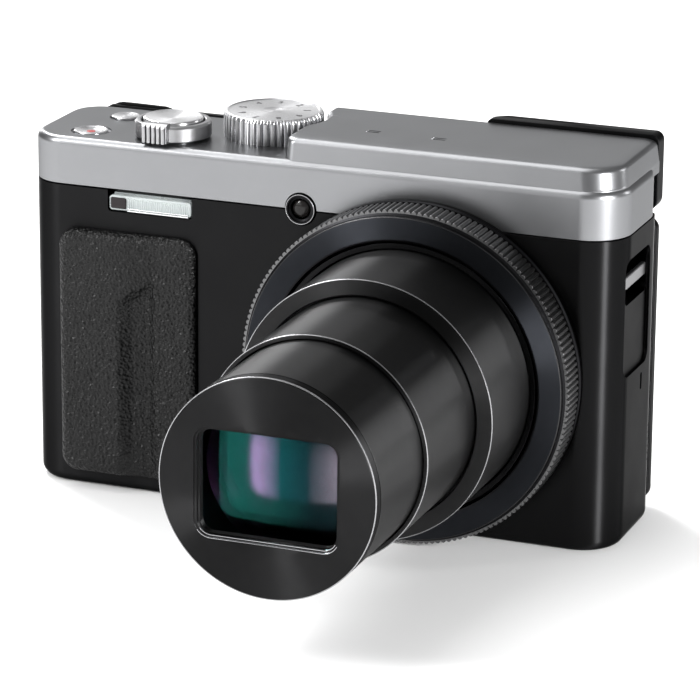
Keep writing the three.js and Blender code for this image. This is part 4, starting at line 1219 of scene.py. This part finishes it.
# ---- rear controls and screen
def screen():
    edge, glass, link = places("screen_frame", "screen_glass", "screen_hinge_link")
    back = edge.y[1]
    body = bar("screen_frame", edge.x, edge.z, 2.0, edge.y, "xz", (0.3, 0.6), 4)
    hinge = JOINTS["screen_tilt"]["pos_m"]
    slot = (link.x[0] + 1.2, link.x[1] - 1.2)
    cut(body, bar("tool", grown(glass.x, 0.3), grown(glass.z, 0.3), 1.0, (back - 0.9, 30)),
        box(slot, (0, 30), (hinge[2] / MM - 1.5, 80)),
        pin((hinge[1] / MM, hinge[2] / MM), 0.9, (slot[0] - 1.9, slot[1] + 1.9), "x", 24))
    ease_edges(body, 0.18)
    finished(body, "screen", BODY_BLACK, "body_black", "screen_frame")
    pane = bar("screen_glass", glass.x, glass.z, 0.8, glass.y, "xz", (0.02, 0.22), 3)
    finished(pane, "screen", SCREEN_GLASS, "screen_glass", "screen_glass")
    face = glass.y[1]
    active = bar("screen_display", grown(glass.x, -3.0), grown(glass.z, -2.6), 0.2, (face - 0.1, face + 0.012))
    finished(active, "screen", SCREEN_PANEL, "screen_glass")


def rear_controls():
    dial, key = places("rear_dial", "set_button")
    r, (low, high) = dial.r, dial.y
    profile = [(5.9, low, 0), *off(r, low, (-0.15, 0, 1), (0, 0.15, 1)),
               *off(r, high, (0, -0.5, 1), (-0.2, -0.25, 0.7), (-0.8, 0, 0), (-1.3, 0, 0)),
               (6.5, high - 0.28, 0), (6.15, high - 0.3, 0), (5.9, high - 0.45, 0)]
    ring = knurled("rear_dial", profile, dial.xz, "y", 60, 0.22)
    finished(ring, "rear_dial", LENS_BLACK, "lens_black", "rear_dial", angle=28)
    r, (low, high) = key.r, key.y
    cap = [(0, low), (r, low), *off(r, high, (0, -0.35), (-0.1, -0.12), (-0.4, 0), (-1.4, -0.1)), (0, high - 0.3)]
    turned("set_button", "set_button", BODY_BLACK, "body_black", cap, "set_button", centre=dial.xz, segments=64,
           ease=0.1)
    for name in REAR_BUTTONS:
        spot = place(name)
        r, (low, high) = spot.r, spot.y
        dome = [(0, low), (r, low), *off(r, high, (0, -0.4), (-0.1, -0.18), (-0.4, -0.06)), (r * 0.4, high),
                (0, high)]
        turned(name, name, BODY_BLACK, "body_black", dome, name, centre=spot.xz, segments=48, ease=0.08)


# ---- glass in the lens
def front_glass():
    glass = place("front_element")
    r, (front, back) = glass.r, glass.y
    sag, steps = 1.1, 14
    dome = [(0, back - 1.2)] + [(r * k / 8, back - 1.2 + 0.9 * (k / 8) ** 2) for k in range(1, 9)]
    dome += [(r, front + sag)]
    dome += [(r * k / steps, front + sag * (k / steps) ** 2) for k in range(steps - 1, -1, -1)]
    turned("front_element", "inner_barrel", FRONT_GLASS, "lens_glass", dome, "front_element", angle=60, segments=96)
    seat = [*off(r, front, (-0.05, 3.1), (-1.1, 2.4), (-1.3, 2.6)), *off(r, back, (-1.3, 0.1), (-0.05, 0.1))]
    turned("front_element_seat", "inner_barrel", LENS_BLACK, "lens_black", seat, ease=0.1)
    wide, bulge = 14.6, 3.4
    inner = [(0, back + 0.3)]
    inner += [(wide * k / steps, back + 0.3 + bulge * (k / steps) ** 2) for k in range(1, steps + 1)]
    inner += [(wide, back + 4.2), (0, back + 4.2)]
    # its metal colour is a painted reflection that changes across the lens
    turned("second_element", "inner_barrel", PAINTED_REFLECTION_GLASS, "lens_glass", inner, angle=60, segments=96)


def dress(node, material):
    """A CAD node that stays, with a better finish."""
    mesh = frame["nodes"][node].data
    for index in range(max(1, len(mesh.materials))):
        if mesh.materials:
            mesh.materials[index] = material
        else:
            mesh.materials.append(material)


def inside():
    finishes = {
        BLADE_METAL: ("barrier_upper_inner", "barrier_lower_inner", "barrier_upper_outer", "barrier_lower_outer"),
        STEEL: ("sensor_plate", "chassis_frame", "zoom_motor", "terminal_sockets", "screen_hinge_link"),
        LENS_BLACK: ("focus_group", "shutter_unit"), PAINTED_REFLECTION_GLASS: ("variator_lens",), SMOKED: ("evf_display",),
        SENSOR_GLASS: ("image_sensor",), BOARD: ("main_board",), CELL: ("battery", "memory_card"),
    }
    for material, nodes in finishes.items():
        for node in nodes:
            dress(node, material)


rear_cover()
grip()
thumb_rest()
finder()
shutter_and_lever()
mode_dial()
top_buttons()
flash()
lamp()
sides()
door_and_latch()
socket_and_screw()
screen()
rear_controls()
front_glass()
inside()
